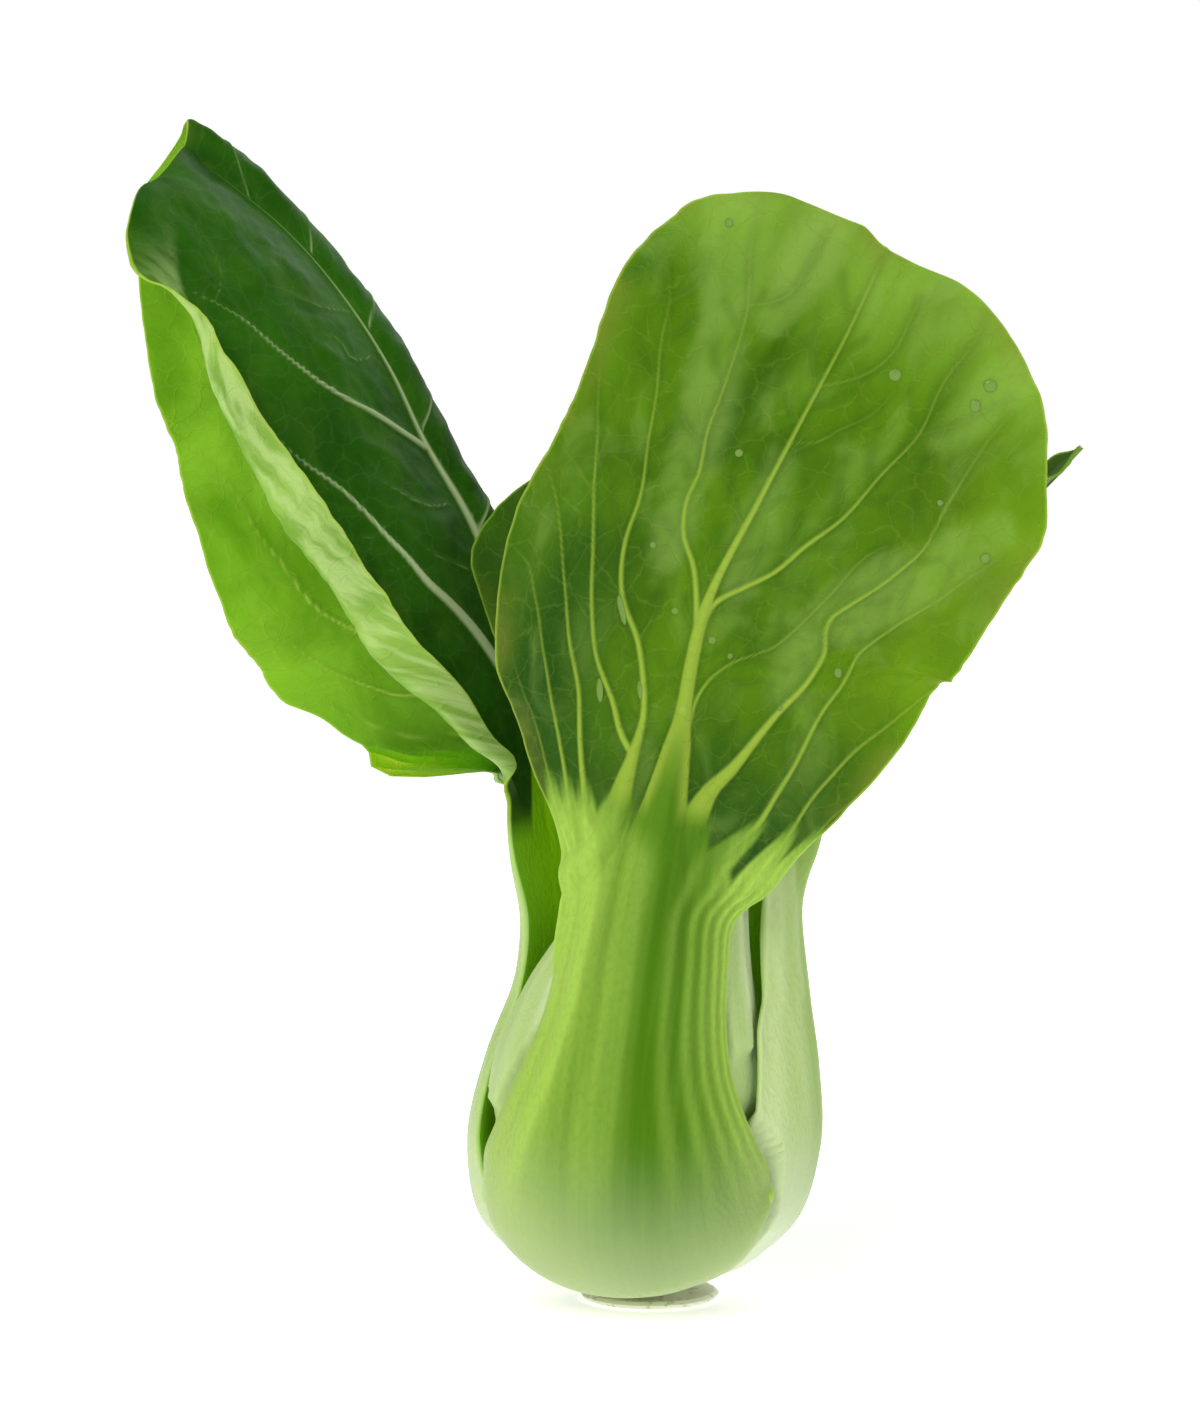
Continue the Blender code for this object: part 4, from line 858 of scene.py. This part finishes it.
frontRightLeaf = dict(
    name="leaf_front_right", slot="inner_leaf", azimuth=24, seed=53, grid=(50, 80, 32, 1),
    spine=stalkPath(28, middleStalk[:5]) + [(9.8, -16, 61), (10.6, -13.2, 76), (12.8, -11.2, 92),
          (17, -10.2, 110), (22.6, -10, 130), (27, -10.6, 148)],
    stalkLength=80, wrap=0.95,
    stalkHalf=[(0, 5), (8, 12), (18, 18), (30, 19.5), (44, 17.5), (60, 13.5), (74, 10.5)],
    left=[(88, 10), (100, 13), (114, 15), (128, 13.5), (138, 9)],
    right=[(88, 11), (100, 15), (114, 17), (128, 15), (138, 9)],
    flesh=[(0, 3.2), (20, 5), (40, 5.2), (62, 4.2), (84, 2.6), (112, 1.2), (146, 0.3)],
    ribHalf=[(72, 9), (88, 5.6), (106, 3.2), (146, 1)],
    bendLeft=(8, 14, 20), bendRight=(8, 14, 20), turn=[(66, 0), (146, 0)],
    sweep=0.9, ruffle=(0.8, 4, 0.9), veinCount=5,
    fineEdge={1: [(8, 0), (24, 0.4), (36, 3), (44, 3.2), (56, 1.5), (66, 0)]})


def heartLeaf(name, azimuth, path, top, lean, half, phase, seed):
    reach, foot = path[-1]
    rise = top - foot
    blade = [(reach + lean * share ** 1.7, foot + rise * share) for share in (0.22, 0.48, 0.74, 1)]
    stalkLength = foot - path[0][1] + 6.0
    full = [(stalkLength + rise * share, half * width) for share, width in
            ((0.16, 0.62), (0.34, 0.90), (0.56, 1), (0.78, 0.82), (0.94, 0.45))]
    girth = path[3][0]
    return dict(
        name=name, slot="heart_leaf", azimuth=azimuth, seed=seed, grid=(36, 56, 24, 1),
        spine=stalkPath(azimuth, path + blade), stalkLength=stalkLength, wrap=0.95,
        stalkHalf=[(0, 0.8 * path[0][0]), (8, 0.72 * girth), (18, 1.02 * girth),
                   (34, 0.82 * girth), (stalkLength - 6, 0.50 * girth)],
        left=full, right=full,
        flesh=[(0, 2.2), (20, 0.2 * girth + 1), (40, 0.16 * girth + 1), (stalkLength, 1.6),
               (stalkLength + 0.5 * rise, 0.9), (stalkLength + rise, 0.3)],
        ribHalf=[(stalkLength - 8, 0.46 * girth), (stalkLength + 10, 0.26 * girth),
                 (stalkLength + rise, 0.8)],
        bendLeft=(10, 22, half), bendRight=(10, 22, half), turn=[(0, 0), (200, 0)],
        sweep=0.8, ruffle=(0.5, 3, phase), stalkRibs=[], veinCount=4)


heartLeaves = [
    heartLeaf("leaf_inner_left", -116, innerStalk, 122, 0.5, 12, 0.3, 61),
    heartLeaf("leaf_inner_right", 110, innerStalk, 112, 5, 12, 1.4, 67),
    heartLeaf("leaf_heart_front", -26, heartStalk, 92, 1.5, 9, 2.1, 71),
    heartLeaf("leaf_heart_back", 164, heartStalk, 84, 3, 8, 0.8, 79),
]


# ---- materials

def linear(code):
    values = [int(code[k:k + 2], 16) / 255 for k in (1, 3, 5)]
    return tuple(v / 12.92 if v <= 0.04045 else ((v + 0.055) / 1.055) ** 2.4 for v in values) + (1.0,)


def fill(tree, node, inputs):
    for key, value in inputs.items():
        if isinstance(value, bpy.types.NodeSocket):
            tree.links.new(value, node.inputs[key])
        else:
            node.inputs[key].default_value = value


def put(tree, kind, inputs=None, out=0, **settings):
    node = tree.nodes.new(kind)
    for key, value in settings.items():
        setattr(node, key, value)
    fill(tree, node, inputs or {})
    return node.outputs[out]


def newMaterial(name):
    made = bpy.data.materials.new(name)
    made.use_nodes = True
    return made, made.node_tree, made.node_tree.nodes["Principled BSDF"]


def painters(tree):
    # the kinds of node that the materials use again and again
    def between(value, low, high, first=0.0, second=1.0):
        return put(tree, "ShaderNodeMapRange", {"Value": value, "From Min": low, "From Max": high,
                                                "To Min": first, "To Max": second},
                   interpolation_type="SMOOTHSTEP")

    def blend(share, first, second):
        return put(tree, "ShaderNodeMix", {0: share, 6: first, 7: second}, out=2, data_type="RGBA")

    def times(first, second):
        return put(tree, "ShaderNodeMath", {0: first, 1: second}, operation="MULTIPLY")

    def plus(first, second):
        return put(tree, "ShaderNodeMath", {0: first, 1: second}, operation="ADD")

    def noise(place, scale, detail=2.0, roughness=0.5, distortion=0.0, out="Fac"):
        return put(tree, "ShaderNodeTexNoise", {"Vector": place, "Scale": scale, "Detail": detail,
                                                "Roughness": roughness, "Distortion": distortion},
                   out=out)

    return between, blend, times, plus, noise


# Waxy leaf: thin flesh under a wax bloom. The eye gets a soft grey sheen over green that light passes
# through, a pale net of veins and juicy ribs that turn to cream white at the foot.
plainLook = dict(tan="#7E8630", litRight="#86AE18", tipReflectionShare=0.0, shadeShare=0.0, litRightShare=0.0)
# the web green is painted shade: it darkens the hollows between the ribs, the front blade's left side and
# the line beside the veins
leafLooks = {
    "front": dict(plainLook, under="#375F02", underLight="#5C8806", upper="#1E4C04",
                  upperLight="#2A5A0C", web="#1C4A12", webShadeShare=0.85, vein="#93AE3C",
                  upperVein="#B4C49A", stalk="#4A7A06", stalkPale="#A4C852", foot="#B8C892",
                  upperStalkGlow="#A4C860", bloomAndSheen="#8FB052", bloomAndSheenShare=0.6, tanShare=0.5, tipReflectionShare=0.35,
                  shadeShare=0.75, litRightShare=0.36),
    "left": dict(plainLook, under="#5E9206", underLight="#86B428", upper="#1C4E02",
                 upperLight="#2C6408", web="#4E8A14", webShadeShare=0.3, vein="#A4C048",
                 upperVein="#B4C890", stalk="#64961A", stalkPale="#BAD684", foot="#D4DEBC",
                 upperStalkGlow="#9CE000", bloomAndSheen="#86A838", bloomAndSheenShare=0.2, tanShare=0.1),
    "pale": dict(plainLook, under="#224A04", underLight="#386408", upper="#1E4C04",
                 upperLight="#2C5E0C", web="#24500E", webShadeShare=0.4, vein="#7FA030",
                 upperVein="#A8BC84", stalk="#8CB04A", stalkPale="#C4D898", foot="#E0E8D0",
                 upperStalkGlow="#B4EC20", bloomAndSheen="#5A7C24", bloomAndSheenShare=0.15, tanShare=0.2),
    "young": dict(plainLook, under="#44780A", underLight="#62941E", upper="#1C5004",
                  upperLight="#3A7812", web="#3A6E10", webShadeShare=0.3, vein="#9CBE4A",
                  upperVein="#B2C88C", stalk="#98BE50", stalkPale="#C8DC98", foot="#D8E2C2",
                  upperStalkGlow="#B0E824", bloomAndSheen="#7FA262", bloomAndSheenShare=0.2, tan="#8C9838", tanShare=0.1),
}
leafLooks["second"] = dict(leafLooks["pale"], stalk="#B0CC7A", stalkPale="#DCE8BE")


def waxyLeaf(name, look):
    made, tree, shader = newMaterial(name)
    between, blend, times, plus, noise = painters(tree)
    paint = {key: linear(value) for key, value in look.items() if isinstance(value, str)}
    flat = put(tree, "ShaderNodeAttribute", out="Vector", attribute_name="flat")
    flesh, veinMark, groove, rim, upper, blade, way, rolled, ring, flank, leafy, sheen, veinShade = (
        put(tree, "ShaderNodeAttribute", out="Fac", attribute_name=key)
        for key in ("flesh", "vein", "groove", "rim", "upper", "blade", "way", "rolled", "ring", "flank",
                    "leafy", "sheen", "veinShade"))
    place = put(tree, "ShaderNodeTexCoord", out="Object")
    height = put(tree, "ShaderNodeSeparateXYZ", {0: place}, out="Z")
    side = put(tree, "ShaderNodeSeparateXYZ", {0: flat}, out="Y")

    def byFace(onUnder, onUpper):
        return between(upper, 0.0, 1.0, onUnder, onUpper)

    def stretched(along, across):
        return put(tree, "ShaderNodeMapping", {"Vector": flat, "Scale": (along, across, 1.0)})

    def netLine(spots, scale, line):
        edge = put(tree, "ShaderNodeTexVoronoi", {"Vector": spots, "Scale": scale},
                   feature="DISTANCE_TO_EDGE", voronoi_dimensions="2D")
        return between(edge, 0.0, line, 1.0, 0.0)

    # net of fine veins: 6 mm meshes with 2 mm ones inside, bent by a 7 mm noise
    wander = noise(flat, 150.0, 3.0, out="Color")
    shift = put(tree, "ShaderNodeVectorMath", {0: wander, "Scale": 0.006}, operation="SCALE")
    bent = put(tree, "ShaderNodeVectorMath", {0: flat, 1: shift}, operation="ADD")
    wideLine = netLine(bent, 165.0, 0.055)
    fineLine = netLine(bent, 480.0, 0.09)

    # the blade: cloudy green, lighter and yellower to the right as painted light, darker between the ribs
    # and down its left side as painted shade
    drawn = stretched(26.0, 46.0)
    cloudy = between(noise(drawn, 1.0, 4.0, 0.55, 0.5), 0.3, 0.7)
    under = blend(cloudy, paint["under"], paint["underLight"])
    # painted light: the right side of the blade turns lighter and yellower
    under = blend(between(side, 0.012, 0.05, 0.0, look["litRightShare"]), under, paint["litRight"])
    top = blend(cloudy, paint["upper"], paint["upperLight"])
    colour = blend(upper, under, top)
    # painted shade: near the blade's base the hollows between the ribs turn to the dark web green
    dark = blend(upper, paint["web"], top)
    colour = blend(between(way, 0.34, 0.02, 0.0, look["webShadeShare"]), colour, dark)
    # painted reflection: the tip of the blade turns paler, where it would catch the sky
    colour = blend(between(way, 0.8, 1.0, 0.0, look["tipReflectionShare"]), colour, paint["stalkPale"])
    # painted shade down the lower left side of the front blade, where it curves away from the light
    shade = times(between(side, -0.006, -0.034), between(way, 0.62, 0.25, 0.0, look["shadeShare"]))
    colour = blend(shade, colour, dark)
    veinColour = blend(upper, paint["vein"], paint["upperVein"])
    netShare = byFace(0.12, 0.03)
    colour = blend(times(wideLine, netShare), colour, veinColour)
    colour = blend(times(fineLine, times(netShare, 0.4)), colour, veinColour)

    # soft patches that are partly wax bloom and partly painted sheen, and painted sheen in pale streaks
    bloomAndSheenNoise = noise(drawn, 2.2, 5.0, 0.5, 0.8)
    soft = times(between(bloomAndSheenNoise, 0.5, 0.72), 0.4)
    uneven = put(tree, "ShaderNodeMath", {0: bloomAndSheenNoise, 1: 1.7, 2: -0.85}, operation="MULTIPLY_ADD")
    paintedSheen = times(between(plus(sheen, uneven), 0.2, 1.35, 0.0, 0.75), between(sheen, 0.0, 0.6))
    bloomAndSheen = put(tree, "ShaderNodeMath", {0: soft, 1: times(paintedSheen, byFace(1.0, 0.15))},
                operation="MAXIMUM")
    colour = blend(times(bloomAndSheen, look["bloomAndSheenShare"]), colour, paint["bloomAndSheen"])

    # painted shade in a dark line beside the raised veins, and a rim that has dried here and there
    colour = blend(times(veinShade, byFace(0.22, 0.1)), colour, paint["web"])
    veinShare = blend(upper, between(veinMark, 0.06, 0.7), between(veinMark, 0.12, 0.75))
    colour = blend(veinShare, colour, veinColour)
    dried = times(between(rim, 0.0, 7.0, 1.0, 0.0), between(noise(flat, 60.0, 3.0), 0.4, 0.62))
    colour = blend(times(dried, look["tanShare"]), colour, paint["tan"])

    # juicy flesh: cream foot, green middle, pale ribs, and fibres 1.6 mm apart up the stalk
    streak = between(noise(stretched(14.0, 620.0), 1.0, 3.0), 0.34, 0.66)
    pale = plus(times(streak, 0.09), times(between(groove, 0.02, 0.5), 0.34))
    edgePale = times(between(flank, 0.15, 1.05), between(blade, 0.0, 1.0, 0.9, 0.3))
    pale = put(tree, "ShaderNodeMath", {0: pale, 1: edgePale}, operation="ADD", use_clamp=True)
    juicy = blend(pale, paint["stalk"], paint["stalkPale"])
    dimple = noise(stretched(640.0, 1200.0), 1.0)
    juicy = blend(between(dimple, 0.42, 0.7, 0.0, 0.13), juicy, paint["stalk"])
    juicy = blend(times(ring, 0.8), juicy, paint["foot"])
    low = put(tree, "ShaderNodeMath", {0: height, 1: times(flank, 0.010)}, operation="SUBTRACT")
    juicy = blend(between(low, 0.040, -0.010), juicy, paint["foot"])
    # painted light: the upper face of the stalk is bright lime, for light that glows through the flesh
    # into the shade of the nest
    juicy = blend(times(upper, 0.9), juicy, paint["upperStalkGlow"])
    stalky = plus(flesh, times(veinMark, 0.9))
    notBlade = put(tree, "ShaderNodeMath", {0: 1.0, 1: leafy}, operation="SUBTRACT")
    ribShare = times(between(stalky, 0.9, 2.6), between(upper, 0.0, 0.5, 1.0, 0.0))
    stalkShare = put(tree, "ShaderNodeMath", {0: ribShare, 1: notBlade}, operation="MAXIMUM")
    colour = blend(stalkShare, colour, juicy)

    # painted sheen on the rolled edge, broken by fine lines along it, and the thin pale rim
    rolledSheenNoise = noise(stretched(90.0, 420.0), 1.0, 3.0)
    colour = blend(times(rolled, between(rolledSheenNoise, 0.36, 0.62, 0.25, 0.8)), colour, paint["stalkPale"])
    rimPaint = blend(leafy, paint["stalkPale"], paint["vein"])
    colour = blend(between(rim, 0.15, 0.7, 0.75, 0.0), colour, rimPaint)

    rough = plus(times(bloomAndSheen, 0.14), byFace(0.36, 0.52))
    netLift = times(plus(wideLine, times(fineLine, 0.4)), between(stalkShare, 0.0, 0.5, 1.0, 0.0))
    relief = times(netLift, byFace(1.0, 0.12))
    for grain, lift in ((noise(place, 1900.0), 0.28), (streak, times(stalkShare, 0.2)),
                        (dimple, times(stalkShare, 2.2))):
        relief = plus(relief, times(grain, lift))
    bump = put(tree, "ShaderNodeBump", {"Height": relief, "Strength": 0.55, "Distance": 0.00022})
    fill(tree, shader, {"Base Color": colour, "Roughness": rough, "Normal": bump, "IOR": 1.4,
                        "Specular IOR Level": 0.09, "Subsurface Weight": 0.5,
                        "Subsurface Radius": (0.7, 1.0, 0.25), "Subsurface Scale": 0.0018})
    return made


def cutStem():
    # Wet cut stem: cream flesh with darker water vessels round a glassy pith
    made, tree, shader = newMaterial("cut_stem_flesh")
    between, blend, times, _, noise = painters(tree)
    place = put(tree, "ShaderNodeTexCoord", out="Object")
    level = put(tree, "ShaderNodeVectorMath", {0: place, 1: (1.0, 1.0, 0.0)}, operation="MULTIPLY")
    radius = put(tree, "ShaderNodeVectorMath", {0: level}, out="Value", operation="LENGTH")
    vessels = put(tree, "ShaderNodeTexVoronoi", {"Vector": place, "Scale": 620.0})
    dots = put(tree, "ShaderNodeMapRange", {"Value": vessels, "From Min": 0.18, "From Max": 0.34,
                                            "To Min": 1.0, "To Max": 0.0})
    spots = times(dots, between(radius, 0.0078, 0.0092))
    flesh = blend(noise(place, 260.0, 4.0), linear("#F8F8EC"), linear("#EEF0DC"))
    colour = blend(spots, flesh, linear("#D4D8AC"))
    bump = put(tree, "ShaderNodeBump", {"Height": spots, "Strength": 0.5, "Distance": 0.0002})
    fill(tree, shader, {"Base Color": colour, "Roughness": 0.38, "Normal": bump,
                        "Subsurface Weight": 0.35, "Subsurface Radius": (1.0, 0.9, 0.5),
                        "Subsurface Scale": 0.002})
    return made


def clearWater():
    # Water drop: smooth and nearly clear, so that the eye gets a small glint and a paler green
    made, tree, shader = newMaterial("clear_water")
    place = put(tree, "ShaderNodeTexCoord", out="Object")
    film = put(tree, "ShaderNodeTexNoise", {"Vector": place, "Scale": 900.0}, out="Fac")
    rough = put(tree, "ShaderNodeMapRange", {"Value": film, "To Min": 0.01, "To Max": 0.07})
    fill(tree, shader, {"Base Color": linear("#86AC48"), "Roughness": rough, "IOR": 1.333,
                        "Transmission Weight": 0.35})
    return made


# ---- water drops on the front blade: x and z on the sheet, radius, how long they have run

dropTable = [(17.8, 170, 0.8, 1), (49, 185.6, 1.1, 1.1), (65, 179.4, 1.0, 1.2), (68, 183.4, 1.2, 1),
             (12.4, 132.6, 0.8, 1), (5, 138.4, 0.7, 1), (67, 149, 1.0, 1.1), (16, 129.4, 0.6, 1),
             (15.8, 216, 0.8, 1.1), (0.6, 151.6, 0.6, 1.2), (-5.6, 138.6, 0.9, 3.4), (-10, 122.6, 0.8, 3),
             (-2, 122.6, 0.7, 2.6), (26, 119, 0.6, 1), (37.6, 126, 0.7, 1.4), (58, 160, 0.6, 1)]


def dropTree(water):
    tree = bpy.data.node_groups.new("water drops", "GeometryNodeTree")
    tree.interface.new_socket("Geometry", in_out="INPUT", socket_type="NodeSocketGeometry")
    for name, value in (("Drop size", 0.001), ("Flatness", 0.5)):
        socket = tree.interface.new_socket(name, in_out="INPUT", socket_type="NodeSocketFloat")
        socket.default_value = value
    tree.interface.new_socket("Seed", in_out="INPUT", socket_type="NodeSocketInt").default_value = 5
    tree.interface.new_socket("Geometry", in_out="OUTPUT", socket_type="NodeSocketGeometry")
    given = tree.nodes.new("NodeGroupInput").outputs

    def marked(name, kind):
        return put(tree, "GeometryNodeInputNamedAttribute", {"Name": name}, data_type=kind)

    ball = put(tree, "GeometryNodeMeshIcoSphere", {"Radius": 1.0, "Subdivisions": 3})
    turned = put(tree, "FunctionNodeAlignRotationToVector", {"Vector": marked("facing", "FLOAT_VECTOR")},
                 axis="Z")
    turned = put(tree, "FunctionNodeAlignRotationToVector",
                 {"Rotation": turned, "Vector": (0.0, 0.0, 1.0)}, axis="Y", pivot_axis="Z")
    uneven = put(tree, "FunctionNodeRandomValue", {2: 0.85, 3: 1.15, "Seed": given["Seed"]}, out=1)
    wide = put(tree, "ShaderNodeMath", {0: marked("size", "FLOAT"), 1: given["Drop size"]},
               operation="MULTIPLY")
    thick = put(tree, "ShaderNodeMath", {0: wide, 1: given["Flatness"]}, operation="MULTIPLY")
    run = put(tree, "ShaderNodeMath", {0: wide, 1: marked("run", "FLOAT")}, operation="MULTIPLY")
    across = put(tree, "ShaderNodeMath", {0: wide, 1: uneven}, operation="MULTIPLY")
    scale = put(tree, "ShaderNodeCombineXYZ", {"X": across, "Y": run, "Z": thick})
    spread = put(tree, "GeometryNodeInstanceOnPoints", {"Points": given["Geometry"], "Instance": ball,
                                                        "Rotation": turned, "Scale": scale})
    real = put(tree, "GeometryNodeRealizeInstances", {"Geometry": spread})
    smooth = put(tree, "GeometryNodeSetShadeSmooth", {"Geometry": real})
    done = put(tree, "GeometryNodeSetMaterial", {"Geometry": smooth, "Material": water})
    tree.links.new(done, tree.nodes.new("NodeGroupOutput").inputs[0])
    return tree


def waterDrops(blade):
    water = clearWater()
    corners = [vertex.co[:] for vertex in blade.vertices]
    skin = BVHTree.FromPolygons(corners, [face.vertices[:] for face in blade.polygons])
    spots, facing, sizes, runs = [], [], [], []
    for x, z, radius, run in dropTable:
        hit, normal, _, _ = skin.ray_cast(tuple(eye * mm), tuple(unit(onSheet(x, z) - eye)))
        if hit is None:
            continue
        outward = normal if normal.y < 0 else -normal
        spots.append(tuple(hit + outward * 0.1 * radius * mm))
        facing.append(tuple(outward))
        sizes.append(radius)
        runs.append(run)
    mesh = bpy.data.meshes.new("water_drop_places")
    mesh.from_pydata(spots, [], [])
    for name, values in (("facing", facing), ("size", sizes), ("run", runs)):
        mark(mesh, name, values)
    grower = bpy.data.objects.new("water_drop_places", mesh)
    bpy.context.scene.collection.objects.link(grower)
    modifier = grower.modifiers.new("drops", "NODES")
    modifier.node_group = dropTree(water)
    wanted = {"Drop size": mm, "Flatness": 0.4, "Seed": 5}
    for socket in modifier.node_group.interface.items_tree:
        if socket.item_type == "SOCKET" and socket.in_out == "INPUT" and socket.name in wanted:
            modifier[socket.identifier] = wanted[socket.name]
    depsgraph = bpy.context.evaluated_depsgraph_get()
    plain = bpy.data.meshes.new_from_object(grower.evaluated_get(depsgraph))
    grower.modifiers.clear()
    bpy.data.objects.remove(grower)
    plain.name = "water_drops"
    drops = bpy.data.objects.new("water_drops", plain)
    bpy.context.scene.collection.objects.link(drops)
    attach(drops, "root")
    print("drops", len(spots), "with", len(plain.polygons), "faces")


# ---- putting it together

def dress(mesh, name, slot, node, material):
    mesh.materials.append(material)
    made = bpy.data.objects.new(name, mesh)
    bpy.context.scene.collection.objects.link(made)
    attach(made, "root")
    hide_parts(node)
    return made


def growHead():
    looks = {name: waxyLeaf("waxy_leaf_" + name, look) for name, look in leafLooks.items()}
    look = {"leaf_front": "front", "leaf_left": "left", "leaf_right": "pale", "leaf_back": "pale",
            "leaf_front_left": "second", "leaf_front_right": "second"}
    nest = Nest()
    for spec in [frontLeaf, leftLeaf, rightLeaf, frontLeftLeaf, backLeaf, frontRightLeaf] + heartLeaves:
        leaf = Leaf(spec, nest)
        inner, _ = leaf.plainFaces(np.linspace(0.0, leaf.length, 260), np.linspace(-1, 1, 121))
        nest.take(inner)
        veins = drawnVeins(leaf) if "midrib" in spec else grownVeins(leaf)
        spacing = 5.5 if "midrib" in spec else 8.0
        veins += twigs(veins, spacing, spec["seed"], leaf.stalk + build["twigStart"])
        mesh = leafMesh(leaf, veins)
        made = dress(mesh, spec["name"] + "_grown", spec["slot"], spec["name"],
                     looks[look.get(spec["name"], "young")])
        mesh.calc_loop_triangles()
        print("leaf", made.name, len(mesh.loop_triangles), "triangles")
        if spec is frontLeaf:
            waterDrops(mesh)


def finishStem():
    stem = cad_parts["stem_base"]
    stem.data.materials.clear()
    stem.data.materials.append(cutStem())
    print("stem dressed")


light = dict(room=0.34, sun=1.6, right=1.6, back=4.0, table=0.5)


def studio():
    scene = bpy.context.scene
    camera = bpy.data.cameras.new("camera")
    camera.lens = 100
    camera.sensor_width = 36
    camera.clip_start, camera.clip_end = 0.01, 100
    holder = bpy.data.objects.new("camera", camera)
    holder.location = tuple(eye * mm)
    holder.rotation_euler = (math.pi / 2 - tilt, 0, 0)
    scene.collection.objects.link(holder)
    scene.camera = holder

    mesh = bpy.data.meshes.new("floor")
    mesh.from_pydata([(-40, -40, 0), (40, -40, 0), (40, 40, 0), (-40, 40, 0)], [], [(0, 1, 2, 3)])
    floor = bpy.data.objects.new("floor", mesh)
    # pale matt floor that glows a little, so that the eye gets a bright ground with a faint shadow
    made, tree, shader = newMaterial("pale_floor")
    fill(tree, shader, {"Base Color": linear("#F4F4F2"), "Roughness": 0.7, "Specular IOR Level": 0.1,
                        "Emission Color": (1, 1, 1, 1), "Emission Strength": light["table"]})
    mesh.materials.append(made)
    scene.collection.objects.link(floor)

    # the room is white to the camera and dimmer as a light, so that the leaves keep their depth
    world = bpy.data.worlds.new("white room")
    world.use_nodes = True
    tree = world.node_tree
    seenStraight = put(tree, "ShaderNodeLightPath", out="Is Camera Ray")
    glow = put(tree, "ShaderNodeMapRange", {"Value": seenStraight, "To Min": light["room"],
                                            "To Max": 1.0})
    fill(tree, tree.nodes["Background"], {"Color": (1, 1, 1, 1), "Strength": glow})
    scene.world = world
    middle = np.array([0.0, 0.0, 0.11])       # all lamps face the middle of the head
    for name, kind, place, power, size in (
            ("sky panel", "SUN", (-0.55, -0.95, 0.95), light["sun"], math.radians(36)),
            ("right panel", "AREA", (0.75, -0.95, 0.4), light["right"], 0.5),
            ("back panel", "AREA", (0.45, 0.8, 0.75), light["back"], 0.7)):
        lamp = bpy.data.lights.new(name, kind)
        lamp.energy = power
        if kind == "SUN":
            lamp.angle = size
        else:
            lamp.size = size
        holder = bpy.data.objects.new(name, lamp)
        holder.location = place
        away = np.array(place) - middle
        holder.rotation_euler = (math.atan2(math.hypot(away[0], away[1]), away[2]), 0,
                                 math.atan2(away[0], -away[1]))
        scene.collection.objects.link(holder)
    scene.view_settings.view_transform = "Standard"
    print("studio ready")


growHead()
finishStem()
studio()
